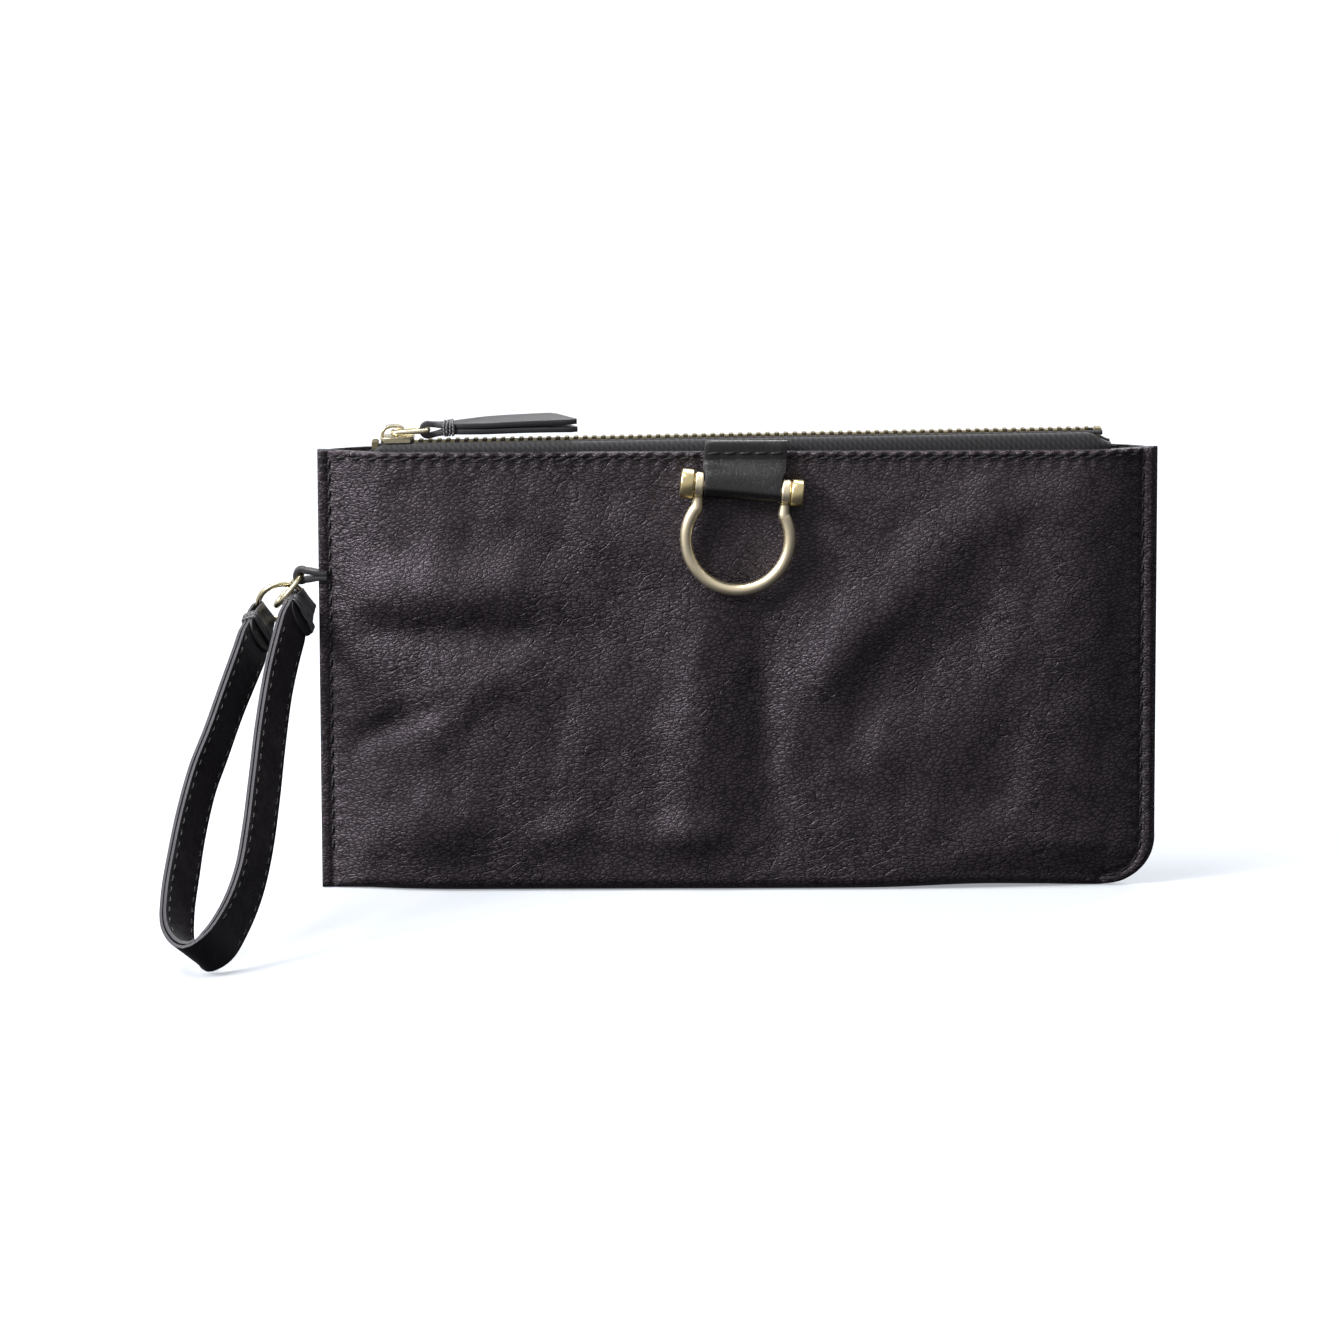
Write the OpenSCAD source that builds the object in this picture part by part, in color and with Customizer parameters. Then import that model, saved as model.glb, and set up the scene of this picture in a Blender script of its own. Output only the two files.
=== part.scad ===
// Wristlet wallet: a zip-top leather pouch with a brass shackle, a zip pull and a wrist strap.
// Millimetres, +Z up, front towards -Y. The origin is the centre of the flat base fold.

/* [Pouch] */
// Width of the pouch, seam to seam
body_w = 202; // [190:1:215]
// Height of the leather edge at the mouth
body_h = 108; // [100:1:115]
// Half thickness at the middle of the pouch
mid_half = 7.8; // [7:0.1:10]
// Half thickness at the side seams
end_half = 4.8; // [4.6:0.1:5.5]
// Half thickness at the mouth
top_half = 5.6; // [5.5:0.1:6]
// Height of the thickest line above the base
belly_z = 42; // [35:1:50]
// Leather thickness
leather_t = 1.2; // [1:0.05:1.3]
// Radius of the bottom corner away from the strap
corner_r = 11.5; // [6:0.5:16]
// Width of the sewn seam at each side
seam_w = 3.5; // [3:0.1:5]
// Pitch of the stitches
stitch_pitch = 3.75; // [3:0.05:5]

/* [Zip] */
// Pitch of the teeth on one tape
tooth_pitch = 2.2; // [2:0.1:3]
// Height of the chain's centre line above the base, at the middle
zip_z = 110.5; // [110.3:0.1:111.5]
// Slope of the chain, rising away from the slider
zip_tilt = 0.85; // [0:0.05:1]
// Place of the slider's middle when the zip is closed
slider_x = -82.4; // [-83:0.1:-82]
// Length of the slider
slider_l = 8.2; // [7.5:0.1:8.2]
// Travel of the slider from closed to open
zip_travel = 163; // [100:1:163]

/* [Shackle] */
// Centre line radius of the bow
bow_r = 12.5; // [12:0.1:14]
// Diameter of the bow's wire
bow_d = 3; // [2.5:0.1:3]
// Diameter of the shackle's pin
pin_d = 2.6; // [2:0.1:2.6]
// Lean of the shackle, right end lower
shackle_tilt = 5.3; // [0:0.1:6]

/* [Strap] */
// Width of the wrist strap
strap_w = 11; // [9:0.5:12]
// Thickness of one strap layer
layer_t = 1.2; // [1:0.05:1.3]
// Wire diameter of the two rings
ring_wire = 1.4; // [1.2:0.1:1.5]

/* [Hidden] */
$fn = 48;
half_w = body_w / 2;
plan_steps = 6;
belly_steps = 4;
fold_r = 3.5;
gap = 0.05;
open_h = 30;
black = [0.10, 0.09, 0.10];
cloth = [0.20, 0.18, 0.19];
brass = [0.72, 0.66, 0.46];

// ---------- pouch ----------

// Half thickness over the width, and over the height: shallow curves, fullest at the belly.
function half_over_x(x) = mid_half - (mid_half - end_half) * pow(x / half_w, 2);
function half_over_z(z) = mid_half - (mid_half - top_half) * pow(
    z > belly_z ? (z - belly_z) / (body_h - belly_z) : (belly_z - z) / (belly_z - fold_r), 2);
function half_at(x, z) = min(half_over_x(x), half_over_z(z));
function both_ways(p) = concat(p, [for (i = [len(p) - 1 : -1 : 0]) [-p[i][0], p[i][1]]]);

// Plan of the pouch between the side seams.
module plan(inset, side_inset) {
    x = half_w - side_inset;
    edge = [for (i = [-plan_steps : plan_steps]) i * x / plan_steps];
    rotate(90) polygon(both_ways([for (e = edge) [half_over_x(e) - inset, e]]));
}

// Side profile: bulged faces on a rounded fold with a flat strip to stand on.
module profile(inset, top) {
    rise = [for (i = [1 : belly_steps]) fold_r + i * (belly_z - fold_r) / belly_steps];
    fall = [for (i = [1 : belly_steps]) belly_z + i * (body_h - belly_z) / belly_steps];
    polygon(both_ways(concat(
        [for (a = [0 : 30 : 90])
            [top_half - fold_r + (fold_r - inset) * sin(a), fold_r - (fold_r - inset) * cos(a)]],
        [for (z = concat(rise, fall)) [half_over_z(z) - inset, z]],
        top > body_h ? [[top_half - inset, top]] : [])));
}

// Front outline: square at the strap side, rounded at the other bottom corner.
module outline(side_inset, low, top) {
    r = max(corner_r - side_inset, 1);
    x = half_w - side_inset;
    difference() {
        translate([-x, low]) square([2 * x, top - low]);
        difference() {
            translate([x - r, low - 1]) square([r + 1, r + 1]);
            translate([x - r, low + r]) circle(r, $fn = 96);
        }
    }
}

// Solid of the pouch shape, set in by a wall thickness and a seam width.
module pouch(inset, side_inset, low, top) {
    intersection() {
        linear_extrude(top) plan(inset, side_inset);
        rotate([90, 0, 90]) linear_extrude(2 * body_w, center = true) profile(inset, top);
        rotate([90, 0, 0]) linear_extrude(60, center = true) outline(side_inset, low, top);
    }
}

// Thin sheet lying against one wall: side 1 is the back, -1 the front.
module wall_sheet(inset, t, side, x0, x1, z0, z1) {
    intersection() {
        difference() {
            pouch(inset, seam_w + gap, leather_t + gap, z1 + open_h);
            pouch(inset + t, seam_w + gap + t, leather_t + gap + t, z1 + 2 * open_h);
        }
        translate([x0, side > 0 ? 0 : -20, z0]) cube([x1 - x0, 20, z1 - z0]);
    }
}

module outer_leather() {
    color(black) difference() {
        pouch(0, 0, 0, body_h);
        pouch(leather_t, seam_w, leather_t, body_h + open_h);
    }
}

lining_t = 0.4;
lining_top = 99.5;

module lining(side) {
    color(cloth) wall_sheet(leather_t + gap, lining_t, side, -half_w, half_w, 0, lining_top);
}

module lining_front() { lining(-1); }
module lining_back() { lining(1); }

// Pockets are stepped sheets sewn to the lining, each nearer the middle than the last.
pocket_t = 0.4;
pocket_step = 0.5;
pocket_low = 10;
pocket_half_w = 88;

module pocket(tier, side, top) {
    inset = leather_t + gap + lining_t + gap + tier * pocket_step;
    wall_sheet(inset, pocket_t, side, -pocket_half_w, pocket_half_w, pocket_low, top);
}

module card_pocket_high() { color(cloth) pocket(0, 1, 90); }
module card_pocket_middle() { color(cloth) pocket(1, 1, 77); }
module card_pocket_low() { color(cloth) pocket(2, 1, 64); }
module slip_pocket() { color(cloth) pocket(0, -1, 76); }

// ---------- zip ----------

tape_t = 0.45;
tape_in = 3.65;
tape_x0 = -90;
tape_x1 = 89;
tape_drop = 9.5;
tooth_w = 1.15;
tooth_half_h = 0.9;
tooth_in = 0.55;
tooth_out = 2.3;
teeth_x0 = -85;
teeth_n = 77;

// The zip's own frame: X along the chain, Z from the chain's centre line.
module zip_frame() {
    translate([0, 0, zip_z]) rotate([0, -zip_tilt, 0]) children();
}

module on_side(side) {
    if (side > 0) children();
    else mirror([0, 1, 0]) children();
}

module zip_tape(side) {
    color(cloth) zip_frame() on_side(side) translate([tape_x0, 0, 0])
        rotate([90, 0, 90]) linear_extrude(tape_x1 - tape_x0) union() {
            translate([tooth_out, -tape_t / 2]) square([tape_in + tape_t - tooth_out, tape_t]);
            translate([tape_in, -tape_drop]) square([tape_t, tape_drop + tape_t / 2]);
        }
}

module zip_tape_front() { zip_tape(-1); }
module zip_tape_back() { zip_tape(1); }

module zip_teeth(side, shift) {
    color(brass) zip_frame() on_side(side)
        for (i = [0 : teeth_n - 1])
            translate([teeth_x0 + shift + i * tooth_pitch, tooth_in, -tooth_half_h])
                cube([tooth_w, tooth_out - tooth_in, 2 * tooth_half_h]);
}

module zip_teeth_front() { zip_teeth(-1, 0); }
module zip_teeth_back() { zip_teeth(1, tooth_pitch / 2); }

module zip_top_stops() {
    color(brass) zip_frame() for (side = [-1, 1]) on_side(side)
        translate([-88.6, 0.9, -tooth_half_h]) cube([1.6, tooth_out - 0.9, 2 * tooth_half_h]);
}

module zip_bottom_stop() {
    color(brass) zip_frame()
        translate([85.4, -tooth_out, -tooth_half_h]) cube([2, 2 * tooth_out, 2 * tooth_half_h]);
}

slider_half = 3.3;
plate_in = 1.2;
plate_out = 1.9;
flange_in = 2.65;
flange_gap = 0.6;
web_half = 0.2;
bridge_w = 2.4;
eye_x = -1;
eye_z = 2.75;
eye_r = 0.95;

// Slider: two plates joined by a thin web between the rows, side flanges and a bridge on top.
module zip_slider() {
    color(brass) zip_frame() translate([slider_x, 0, 0]) {
        for (s = [0, 1]) mirror([0, 0, s]) {
            slider_plate();
            for (side = [-1, 1]) on_side(side)
                translate([-slider_l / 2 + 0.8, flange_in, flange_gap])
                    cube([slider_l - 1.6, slider_half - flange_in, plate_in - flange_gap]);
        }
        translate([-slider_l / 2 + 0.8, -web_half, -plate_in])
            cube([slider_l - 1.6, 2 * web_half, 2 * plate_in]);
        rotate([90, 0, 0]) translate([0, 0, -bridge_w / 2]) linear_extrude(bridge_w) bridge_side();
    }
}

// One plate, with its corners rounded in plan.
module slider_plate() {
    r = 1.6;
    translate([0, 0, plate_in]) linear_extrude(plate_out - plate_in) union() {
        square([slider_l - 2 * r, 2 * slider_half], center = true);
        square([slider_l, 2 * (slider_half - r)], center = true);
        for (x = [-1, 1], y = [-1, 1])
            translate([x * (slider_l / 2 - r), y * (slider_half - r)]) circle(r);
    }
}

// Side view of the bridge: an arch with a round eye for the pull link.
module bridge_side() {
    difference() {
        union() {
            translate([eye_x, eye_z]) circle(eye_r + 0.8);
            translate([eye_x - 2.6, plate_out - 0.1]) square([5.2, 0.9]);
        }
        translate([eye_x, eye_z]) circle(eye_r);
        translate([-5, -5]) square([10, 5 + plate_out - 0.05]);
    }
}

link_d = 1.2;
link_l = 8.4;
link_half = 2.15;

// Place of the pull link's near bar, and its lift at rest.
module link_frame() {
    zip_frame() translate([slider_x + eye_x, 0, eye_z + 0.05]) rotate([0, -link_lift, 0]) children();
}
link_lift = 3;

// Flat closed wire loop through the slider's eye.
module zip_pull_link() {
    r = link_d / 2;
    bend = 1.1;
    color(brass) link_frame() {
        for (x = [0, link_l])
            translate([x, 0, 0]) rotate([90, 0, 0])
                cylinder(r = r, h = 2 * (link_half - bend), center = true);
        for (side = [-1, 1]) {
            translate([bend, side * link_half, 0]) rotate([0, 90, 0])
                cylinder(r = r, h = link_l - 2 * bend);
            translate([bend, side * (link_half - bend), 0]) rotate([0, 0, side > 0 ? 90 : 180])
                rotate_extrude(angle = 90) translate([bend, 0]) circle(r, $fn = 24);
            translate([link_l - bend, side * (link_half - bend), 0]) rotate([0, 0, side > 0 ? 0 : 270])
                rotate_extrude(angle = 90) translate([bend, 0]) circle(r, $fn = 24);
        }
    }
}

pull_l = 36;
pull_w = 8;
pull_neck_w = 2.4;
pull_r_in = 0.85;
pull_lift = 1.2;

// Frame of the leather pull, centred on the link's far bar.
module pull_frame() {
    link_frame() translate([link_l, 0, 0]) rotate([0, -pull_lift, 0]) children();
}

// Leather pull: a strip folded round the link, narrow at the fold, cut to a point at the end.
module zip_pull_tab() {
    r_out = pull_r_in + 1;
    color(black) pull_frame() intersection() {
        rotate([90, 0, 0]) difference() {
            union() {
                cylinder(r = r_out, h = pull_w, center = true);
                linear_extrude(pull_w, center = true)
                    polygon([[0.5, r_out - 0.2], [4, 1.15], [pull_l, 1.15],
                             [pull_l, -1.15], [4, -1.15], [0.5, 0.2 - r_out]]);
            }
            cylinder(r = pull_r_in, h = pull_w + 2, center = true);
        }
        linear_extrude(10, center = true) polygon([
            [-3, -0.95], [1.6, -0.95], [4, -2.2], [8, -3.8], [pull_l - 6, -pull_w / 2],
            [pull_l, 1.5], [pull_l - 1.5, pull_w / 2], [8, 3.8], [4, 2.2], [1.6, 0.95], [-3, 0.95]]);
    }
}

// Thread bound round the neck of the pull.
module zip_pull_wrap() {
    color(black) pull_frame() difference() {
        translate([4.2, -3.5, -1.6]) cube([2, 7, 3.2]);
        translate([4.1, -3.2, -1.2]) cube([2.2, 6.4, 2.4]);
    }
}

// ---------- shackle ----------

pin_x = 0.7;
pin_y = -9.8;
pin_z = 99.6;
leg_x = 10.5;
eye_outer_r = 3.05;
eye_w = 2.15;
pin_run = 0.05;
bow_drop = 12.3;
head_in = leg_x + eye_w / 2 + 0.05;

module shackle_frame() {
    translate([pin_x, pin_y, pin_z]) rotate([0, shackle_tilt, 0]) children();
}

// Round bar along X, between two places.
module bar(x0, x1, d) {
    translate([x0, 0, 0]) rotate([0, 90, 0]) cylinder(d = d, h = x1 - x0);
}

// Omega-shaped bow with a drilled eye at the top of each leg.
module shackle_bow() {
    a = asin(leg_x / bow_r);
    leg_end = -bow_drop + bow_r * cos(a);
    color(brass) shackle_frame() difference() {
        union() {
            translate([0, 0, -bow_drop]) rotate([90, 0, 0]) rotate([0, 0, 90 + a])
                rotate_extrude(angle = 360 - 2 * a, $fn = 96) translate([bow_r, 0]) circle(d = bow_d, $fn = 32);
            for (side = [-1, 1]) {
                translate([side * leg_x, 0, leg_end - 0.4]) cylinder(d = bow_d, h = -leg_end + 0.4 - 1.5);
                bar(side * leg_x - eye_w / 2, side * leg_x + eye_w / 2, 2 * eye_outer_r);
            }
        }
        bar(-20, 20, pin_d + 2 * pin_run);
        for (side = [-1, 1])
            translate([side * (leg_x + eye_w / 2 + 2.5), 0, 0]) cube([5, 8, 6.4], center = true);
    }
}

module shackle_pin() {
    color(brass) shackle_frame() {
        bar(-head_in - 3.4, -head_in, 7.2);
        bar(-head_in - 0.1, head_in, pin_d);
    }
}

module shackle_pin_cap() {
    color(brass) shackle_frame() bar(head_in, head_in + 3.1, 6.7);
}

tab_t = 1.1;
tab_top = 110.3;
tab_half = 10;
tab_neck = 8.2;
tab_loop_in = 1.7;

// Leather loop that hangs the shackle: two layers over the mouth's edge, joined round the pin.
module shackle_tab() {
    loop_out = tab_loop_in + tab_t;
    shoulder = 4.6;
    color(black) intersection() {
        shackle_frame() rotate([90, 0, 90]) translate([0, 0, -12]) linear_extrude(24) union() {
            difference() {
                circle(loop_out);
                circle(tab_loop_in);
                translate([-5, 0]) square([10, 5]);
            }
            polygon([[tab_loop_in, 0], [loop_out, 0], [4.05, 7.5], [4.05, 14], [2.95, 14], [2.95, 7.5]]);
            polygon([[-loop_out, 0], [-tab_loop_in, 0], [2.9, 7], [2.9, 14], [1.8, 14], [1.8, 7.4]]);
        }
        union() {
            translate([pin_x - tab_half, -20, pin_z + shoulder]) cube([2 * tab_half, 20, tab_top - pin_z - shoulder]);
            shackle_frame() translate([-tab_neck, -6, -4]) cube([2 * tab_neck, 12, 10]);
        }
    }
}

// ---------- side tab and rings ----------

side_eye = [-106, 0, 77.2];
side_ring_r = 4.8;
side_ring_dip = 50;
strap_ring_r = 5.6;
strap_ring_c = [-111, 1, 70.5];
// Two directions in the strap ring's plane: from fold to fold, and across the strap.
strap_ring_rise = 17.5;
strap_ring_turn = 57.7;

module torus(r, wire) {
    rotate_extrude($fn = 96) translate([r, 0]) circle(d = wire, $fn = 32);
}

// Narrow folded strip sewn into the side seam, with an eye for the first ring.
module side_tab() {
    eye_in = 1.35;
    tab_w = 3.2;
    color(black) translate(side_eye) rotate([90, 0, 0]) difference() {
        union() {
            cylinder(r = eye_in + 0.8, h = tab_w, center = true);
            linear_extrude(tab_w, center = true)
                polygon([[0.5, eye_in + 0.6], [4.9, 1.1], [4.9, -1.1], [0.5, -eye_in - 0.6]]);
        }
        cylinder(r = eye_in, h = tab_w + 2, center = true);
    }
}

module side_ring() {
    color(brass) translate(side_eye) rotate([0, -side_ring_dip, 0])
        translate([-side_ring_r, 0, 0]) torus(side_ring_r, ring_wire);
}

module strap_ring() {
    color(brass) translate(strap_ring_c) rotate([-strap_ring_turn, -strap_ring_rise, 0]) torus(strap_ring_r, ring_wire);
}

// ---------- wrist strap ----------

// Middle line of the loop, from the left fold down, round and up to the right fold.
strap_route = [[-115.6, 1, 67.5], [-116.4, -5, 65], [-118.5, -15, 59.5], [-122, -26, 51], [-125.5, -39, 42],
               [-128.5, -50, 33.5], [-130.3, -62, 25], [-131.2, -74, 16.5], [-130.5, -85, 9.5],
               [-127.5, -92.5, 5.8], [-123.5, -94, 5.5], [-119, -90, 8.8], [-115.5, -79, 17],
               [-113.8, -67, 26], [-112.8, -54, 35.5], [-111.5, -39, 46.5], [-110, -25, 57.5],
               [-108.3, -13, 65.5], [-106.9, -5, 69], [-105.8, 2, 70.5]];
// Direction across the strap, from its near edge to its far edge.
strap_across = [0.46, 0.50, -0.73];
route_steps = 4;

function unit(v) = v / norm(v);
function clamp_i(i, n) = max(0, min(n - 1, i));
function spline(p, i, t) =
    let (n = len(p), a = p[clamp_i(i - 1, n)], b = p[i], c = p[clamp_i(i + 1, n)], d = p[clamp_i(i + 2, n)])
    0.5 * (2 * b + (c - a) * t + (2 * a - 5 * b + 4 * c - d) * t * t + (3 * b - a - 3 * c + d) * t * t * t);
function smooth(p, steps) = concat(
    [for (i = [0 : len(p) - 2], k = [0 : steps - 1]) spline(p, i, k / steps)], [p[len(p) - 1]]);
function tangent(p, i) = unit(p[clamp_i(i + 1, len(p))] - p[clamp_i(i - 1, len(p))]);
function square_to(v, t) = unit(v - (v * t) * t);

function lift(p, across, shift) = [for (i = [0 : len(p) - 1])
    let (tg = tangent(p, i), nn = cross(square_to(across, tg), tg)) p[i] + shift * nn];

// Band of rectangular section along points p, with a width at each point.
module band(p, across, widths, t) {
    n = len(p);
    ring = [for (i = [0 : n - 1])
        let (tg = tangent(p, i), w = square_to(across, tg) * widths[i] / 2,
             nn = cross(unit(w), tg) * t / 2, c = p[i])
        [c - w - nn, c + w - nn, c + w + nn, c - w + nn]];
    polyhedron(
        points = [for (r = ring) each r],
        faces = concat([[3, 2, 1, 0]], [[4 * n - 4, 4 * n - 3, 4 * n - 2, 4 * n - 1]],
            [for (i = [0 : n - 2], k = [0 : 3])
                [4 * i + (k + 1) % 4, 4 * i + 4 + (k + 1) % 4, 4 * i + 4 + k, 4 * i + k]]));
}

// Fold round the ring at one end, as [sideways, up] from the wire's centre.
fold_profile = [[-1.3, -4], [-1.7, -2], [-1.75, 0], [-1.25, 1.25], [0, 1.75], [1.25, 1.25], [1.75, 0],
                [1.8, -2.4], [1.9, -5], [1.9, -9], [1.9, -13]];
fold_w = 4.6;
neck_w = 6.8;
layer_gap = 0.4;
layer = layer_t - layer_gap;
route = smooth(strap_route, route_steps);
last = len(strap_route) - 1;
up_left = unit(strap_route[0] - strap_route[2]);
up_right = unit(strap_route[last] - strap_route[last - 2]);
// Stations of the route that each fold replaces.
neck = 5;
middle = [for (i = [neck : len(route) - 1 - neck]) route[i]];

// Points of a fold; the sideways direction always points towards +X.
function fold_points(centre, up) =
    let (side = cross(square_to(strap_across, up), up), right = side * sign(side[0]))
    smooth([for (q = fold_profile) centre + q[0] * right + q[1] * up], 2);
function turned(p) = [for (i = [len(p) - 1 : -1 : 0]) p[i]];
function fold_widths(n) = [for (i = [0 : n - 1]) i < 3 ? neck_w - (neck_w - fold_w) * i / 3 :
    i < n - 8 ? fold_w : fold_w + (neck_w - fold_w) * (i - n + 9) / 8];
function level(n) = [for (i = [0 : n - 1]) i < 3 || i > n - 4 ? neck_w : strap_w];

module strap_outer() {
    fold = fold_points(strap_route[0], up_left);
    run = lift(middle, strap_across, layer_t / 2);
    color(black) band(concat(turned(fold), run), strap_across,
        concat(turned(fold_widths(len(fold))), level(len(run))), layer);
}

module strap_inner() {
    fold = fold_points(strap_route[last], up_right);
    run = lift(middle, strap_across, -layer_t / 2);
    color(black) band(concat(run, fold), strap_across,
        concat(level(len(run)), fold_widths(len(fold))), layer);
}

wrap_l = 2.4;
wrap_t = 0.4;
wrap_drop = 9;
wrap_room = 1;
stack_t = 4.4;

// Thread bound round the layers just under a fold.
module strap_wrap(centre, up) {
    side = cross(square_to(strap_across, up), up);
    mid = centre - wrap_drop * up + 0.65 * side * sign(side[0]);
    ends = [mid - up * wrap_l / 2, mid + up * wrap_l / 2];
    inner_ends = [mid - up * wrap_l, mid + up * wrap_l];
    color(black) difference() {
        band(ends, strap_across, [1, 1] * (neck_w + wrap_room + 2 * wrap_t), stack_t + 2 * wrap_t);
        band(inner_ends, strap_across, [1, 1] * (neck_w + wrap_room), stack_t);
    }
}

module strap_wrap_left() { strap_wrap(strap_route[0], up_left); }
module strap_wrap_right() { strap_wrap(strap_route[last], up_right); }

// ---------- stitching ----------

thread = 0.45;
thread_out = 0.25;
stitch_l = 2.4;
seam_line = 2.5;
top_line = 106.3;

// One stitch lying on a face, turned by an angle in the face.
module stitch(x, z, side, angle) {
    translate([x, side * (half_at(x, z) + 0.03 + thread_out / 2), z]) rotate([0, angle, 0])
        cube([stitch_l, thread_out, thread], center = true);
}

module stitching_top(side) {
    n = floor((body_w - 4 * seam_line) / stitch_pitch);
    color(black) for (i = [0 : n], x = (i - n / 2) * stitch_pitch)
        if (side > 0 || abs(x - pin_x) > tab_half + stitch_l) stitch(x, top_line, side, 0);
}

module stitching_top_front() { stitching_top(-1); }
module stitching_top_back() { stitching_top(1); }

module stitching_side_left() {
    n = floor((top_line - 8) / stitch_pitch);
    color(black) for (side = [-1, 1], i = [0 : n])
        stitch(seam_line - half_w, top_line - 2 - i * stitch_pitch, side, 90);
}

module stitching_side_right() {
    n = floor((top_line - 2 - corner_r) / stitch_pitch);
    turn_r = corner_r - seam_line;
    color(black) for (side = [-1, 1]) {
        for (i = [0 : n])
            stitch(half_w - seam_line, top_line - 2 - i * stitch_pitch, side, 90);
        for (a = [20 : 24 : 68])
            stitch(half_w - corner_r + turn_r * cos(a), corner_r - turn_r * sin(a), side, 90 - a);
    }
}

module stitching_shackle_tab() {
    color(black) for (i = [-2 : 2])
        translate([pin_x + i * stitch_pitch, pin_y + 1.75 - thread_out / 2, 108.9])
            cube([stitch_l, thread_out, thread], center = true);
}

// Two rows of stitches along each face of the strap.
module stitching_strap() {
    reach = strap_w / 2 - 1.3;
    color(black) for (face = [-1, 1], edge = [-1, 1], i = [4 : 2 : len(middle) - 6]) {
        tg = tangent(middle, i);
        w = square_to(strap_across, tg);
        c = middle[i] + edge * reach * w + face * (layer_t + 0.3) * cross(w, tg);
        band([c - tg * stitch_l / 2, c + tg * stitch_l / 2], strap_across, [1, 1] * thread, thread_out);
    }
}

outer_leather();
lining_front();
lining_back();
card_pocket_high();
card_pocket_middle();
card_pocket_low();
slip_pocket();
zip_tape_front();
zip_tape_back();
zip_teeth_front();
zip_teeth_back();
zip_top_stops();
zip_bottom_stop();
zip_slider();
zip_pull_link();
zip_pull_tab();
zip_pull_wrap();
shackle_tab();
shackle_bow();
shackle_pin();
shackle_pin_cap();
side_tab();
side_ring();
strap_ring();
strap_outer();
strap_inner();
strap_wrap_left();
strap_wrap_right();
stitching_top_front();
stitching_top_back();
stitching_side_left();
stitching_side_right();
stitching_shackle_tab();
stitching_strap();
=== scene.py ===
"""Wristlet wallet: leather, zip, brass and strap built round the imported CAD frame.

Shapes are worked out in millimetres in the frame's own axes (+X along the mouth, front
towards -Y, +Z up) and become metres when a mesh is made.
"""
import math

import bmesh
import bpy
import numpy as np
from mathutils import Matrix, Vector


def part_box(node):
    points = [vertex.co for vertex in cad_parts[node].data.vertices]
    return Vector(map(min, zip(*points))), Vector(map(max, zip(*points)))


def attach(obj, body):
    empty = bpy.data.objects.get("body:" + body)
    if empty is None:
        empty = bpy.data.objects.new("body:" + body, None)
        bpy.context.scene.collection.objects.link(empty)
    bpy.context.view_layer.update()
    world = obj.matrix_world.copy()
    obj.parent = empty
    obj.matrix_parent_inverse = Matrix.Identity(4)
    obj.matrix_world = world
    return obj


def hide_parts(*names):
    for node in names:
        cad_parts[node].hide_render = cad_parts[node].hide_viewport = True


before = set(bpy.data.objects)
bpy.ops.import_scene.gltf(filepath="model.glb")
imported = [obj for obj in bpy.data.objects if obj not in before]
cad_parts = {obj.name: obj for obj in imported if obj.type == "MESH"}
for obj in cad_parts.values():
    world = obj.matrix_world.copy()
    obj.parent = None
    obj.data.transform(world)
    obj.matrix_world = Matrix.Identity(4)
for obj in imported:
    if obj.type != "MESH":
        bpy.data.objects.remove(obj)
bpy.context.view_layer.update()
MM = 0.001


# ---------- mesh helpers ----------

def unit(v):
    v = np.asarray(v, float)
    return v / np.linalg.norm(v, axis=-1, keepdims=True)


def ramp(v, low, high):
    """Smooth step from 0 at low to 1 at high."""
    t = np.clip((v - low) / (high - low), 0, 1)
    return t * t * (3 - 2 * t)


def bell(v, width):
    return np.exp(-(v / width) ** 2)


def smooth(points, steps):
    """Catmull-Rom curve through the points, with this many steps for each span."""
    p = np.asarray(points, float)
    p = np.vstack([2 * p[0] - p[1], p, 2 * p[-1] - p[-2]])
    t = np.arange(steps)[:, None] / steps
    spans = [0.5 * (2 * b + (c - a) * t + (2 * a - 5 * b + 4 * c - d) * t**2
                    + (3 * b - a - 3 * c + d) * t**3)
             for a, b, c, d in zip(p[:-3], p[1:-2], p[2:-1], p[3:])]
    return np.vstack(spans + [p[-2:-1]])


def tangents(path, closed=False):
    if closed:
        return unit(np.roll(path, -1, 0) - np.roll(path, 1, 0))
    return unit(np.gradient(path, axis=0))


def square_to(v, along):
    v = np.broadcast_to(v, along.shape)
    return unit(v - (v * along).sum(-1, keepdims=True) * along)


def grid_faces(rows, cols, wrap=False):
    """Quads of a rows x cols grid of points; wrap joins the last column to the first."""
    r = np.arange(rows - 1)[:, None] * cols
    c = np.arange(cols if wrap else cols - 1)[None, :]
    n = (c + 1) % cols
    return np.stack([r + c, r + n, r + cols + n, r + cols + c], -1).reshape(-1, 4)


def sweep(centre, across, up, ring, closed=False):
    """A section ring, in (across, up), carried along the stations: points, faces, tags."""
    centre = np.asarray(centre, float)
    ring = np.broadcast_to(ring, (len(centre),) + np.shape(ring)[-2:])
    across = np.broadcast_to(across, centre.shape)
    up = np.broadcast_to(up, centre.shape)
    p = centre[:, None] + ring[..., :1] * across[:, None] + ring[..., 1:] * up[:, None]
    n, m = p.shape[:2]
    faces = (grid_faces(n + 1 if closed else n, m, True) % (n * m)).tolist()
    if not closed:
        faces += [list(range(m))[::-1], list(range((n - 1) * m, n * m))]
    return p.reshape(-1, 3), faces, [0] * len(faces)


def circle(radius, sides=16):
    a = np.arange(sides) * 2 * np.pi / sides
    return np.stack([radius * np.cos(a), radius * np.sin(a)], -1)


def tube(path, radius, sides=16, closed=False, hint=(0, 0, 1)):
    """Round wire along a path; radius may be one number or one for each station."""
    path = np.asarray(path, float)
    t = tangents(path, closed)
    side = square_to(np.array(hint, float), t)
    radius = np.broadcast_to(radius, len(path))
    ring = circle(1, sides)[None] * radius[:, None, None]
    return sweep(path, side, np.cross(t, side), ring, closed)


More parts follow.
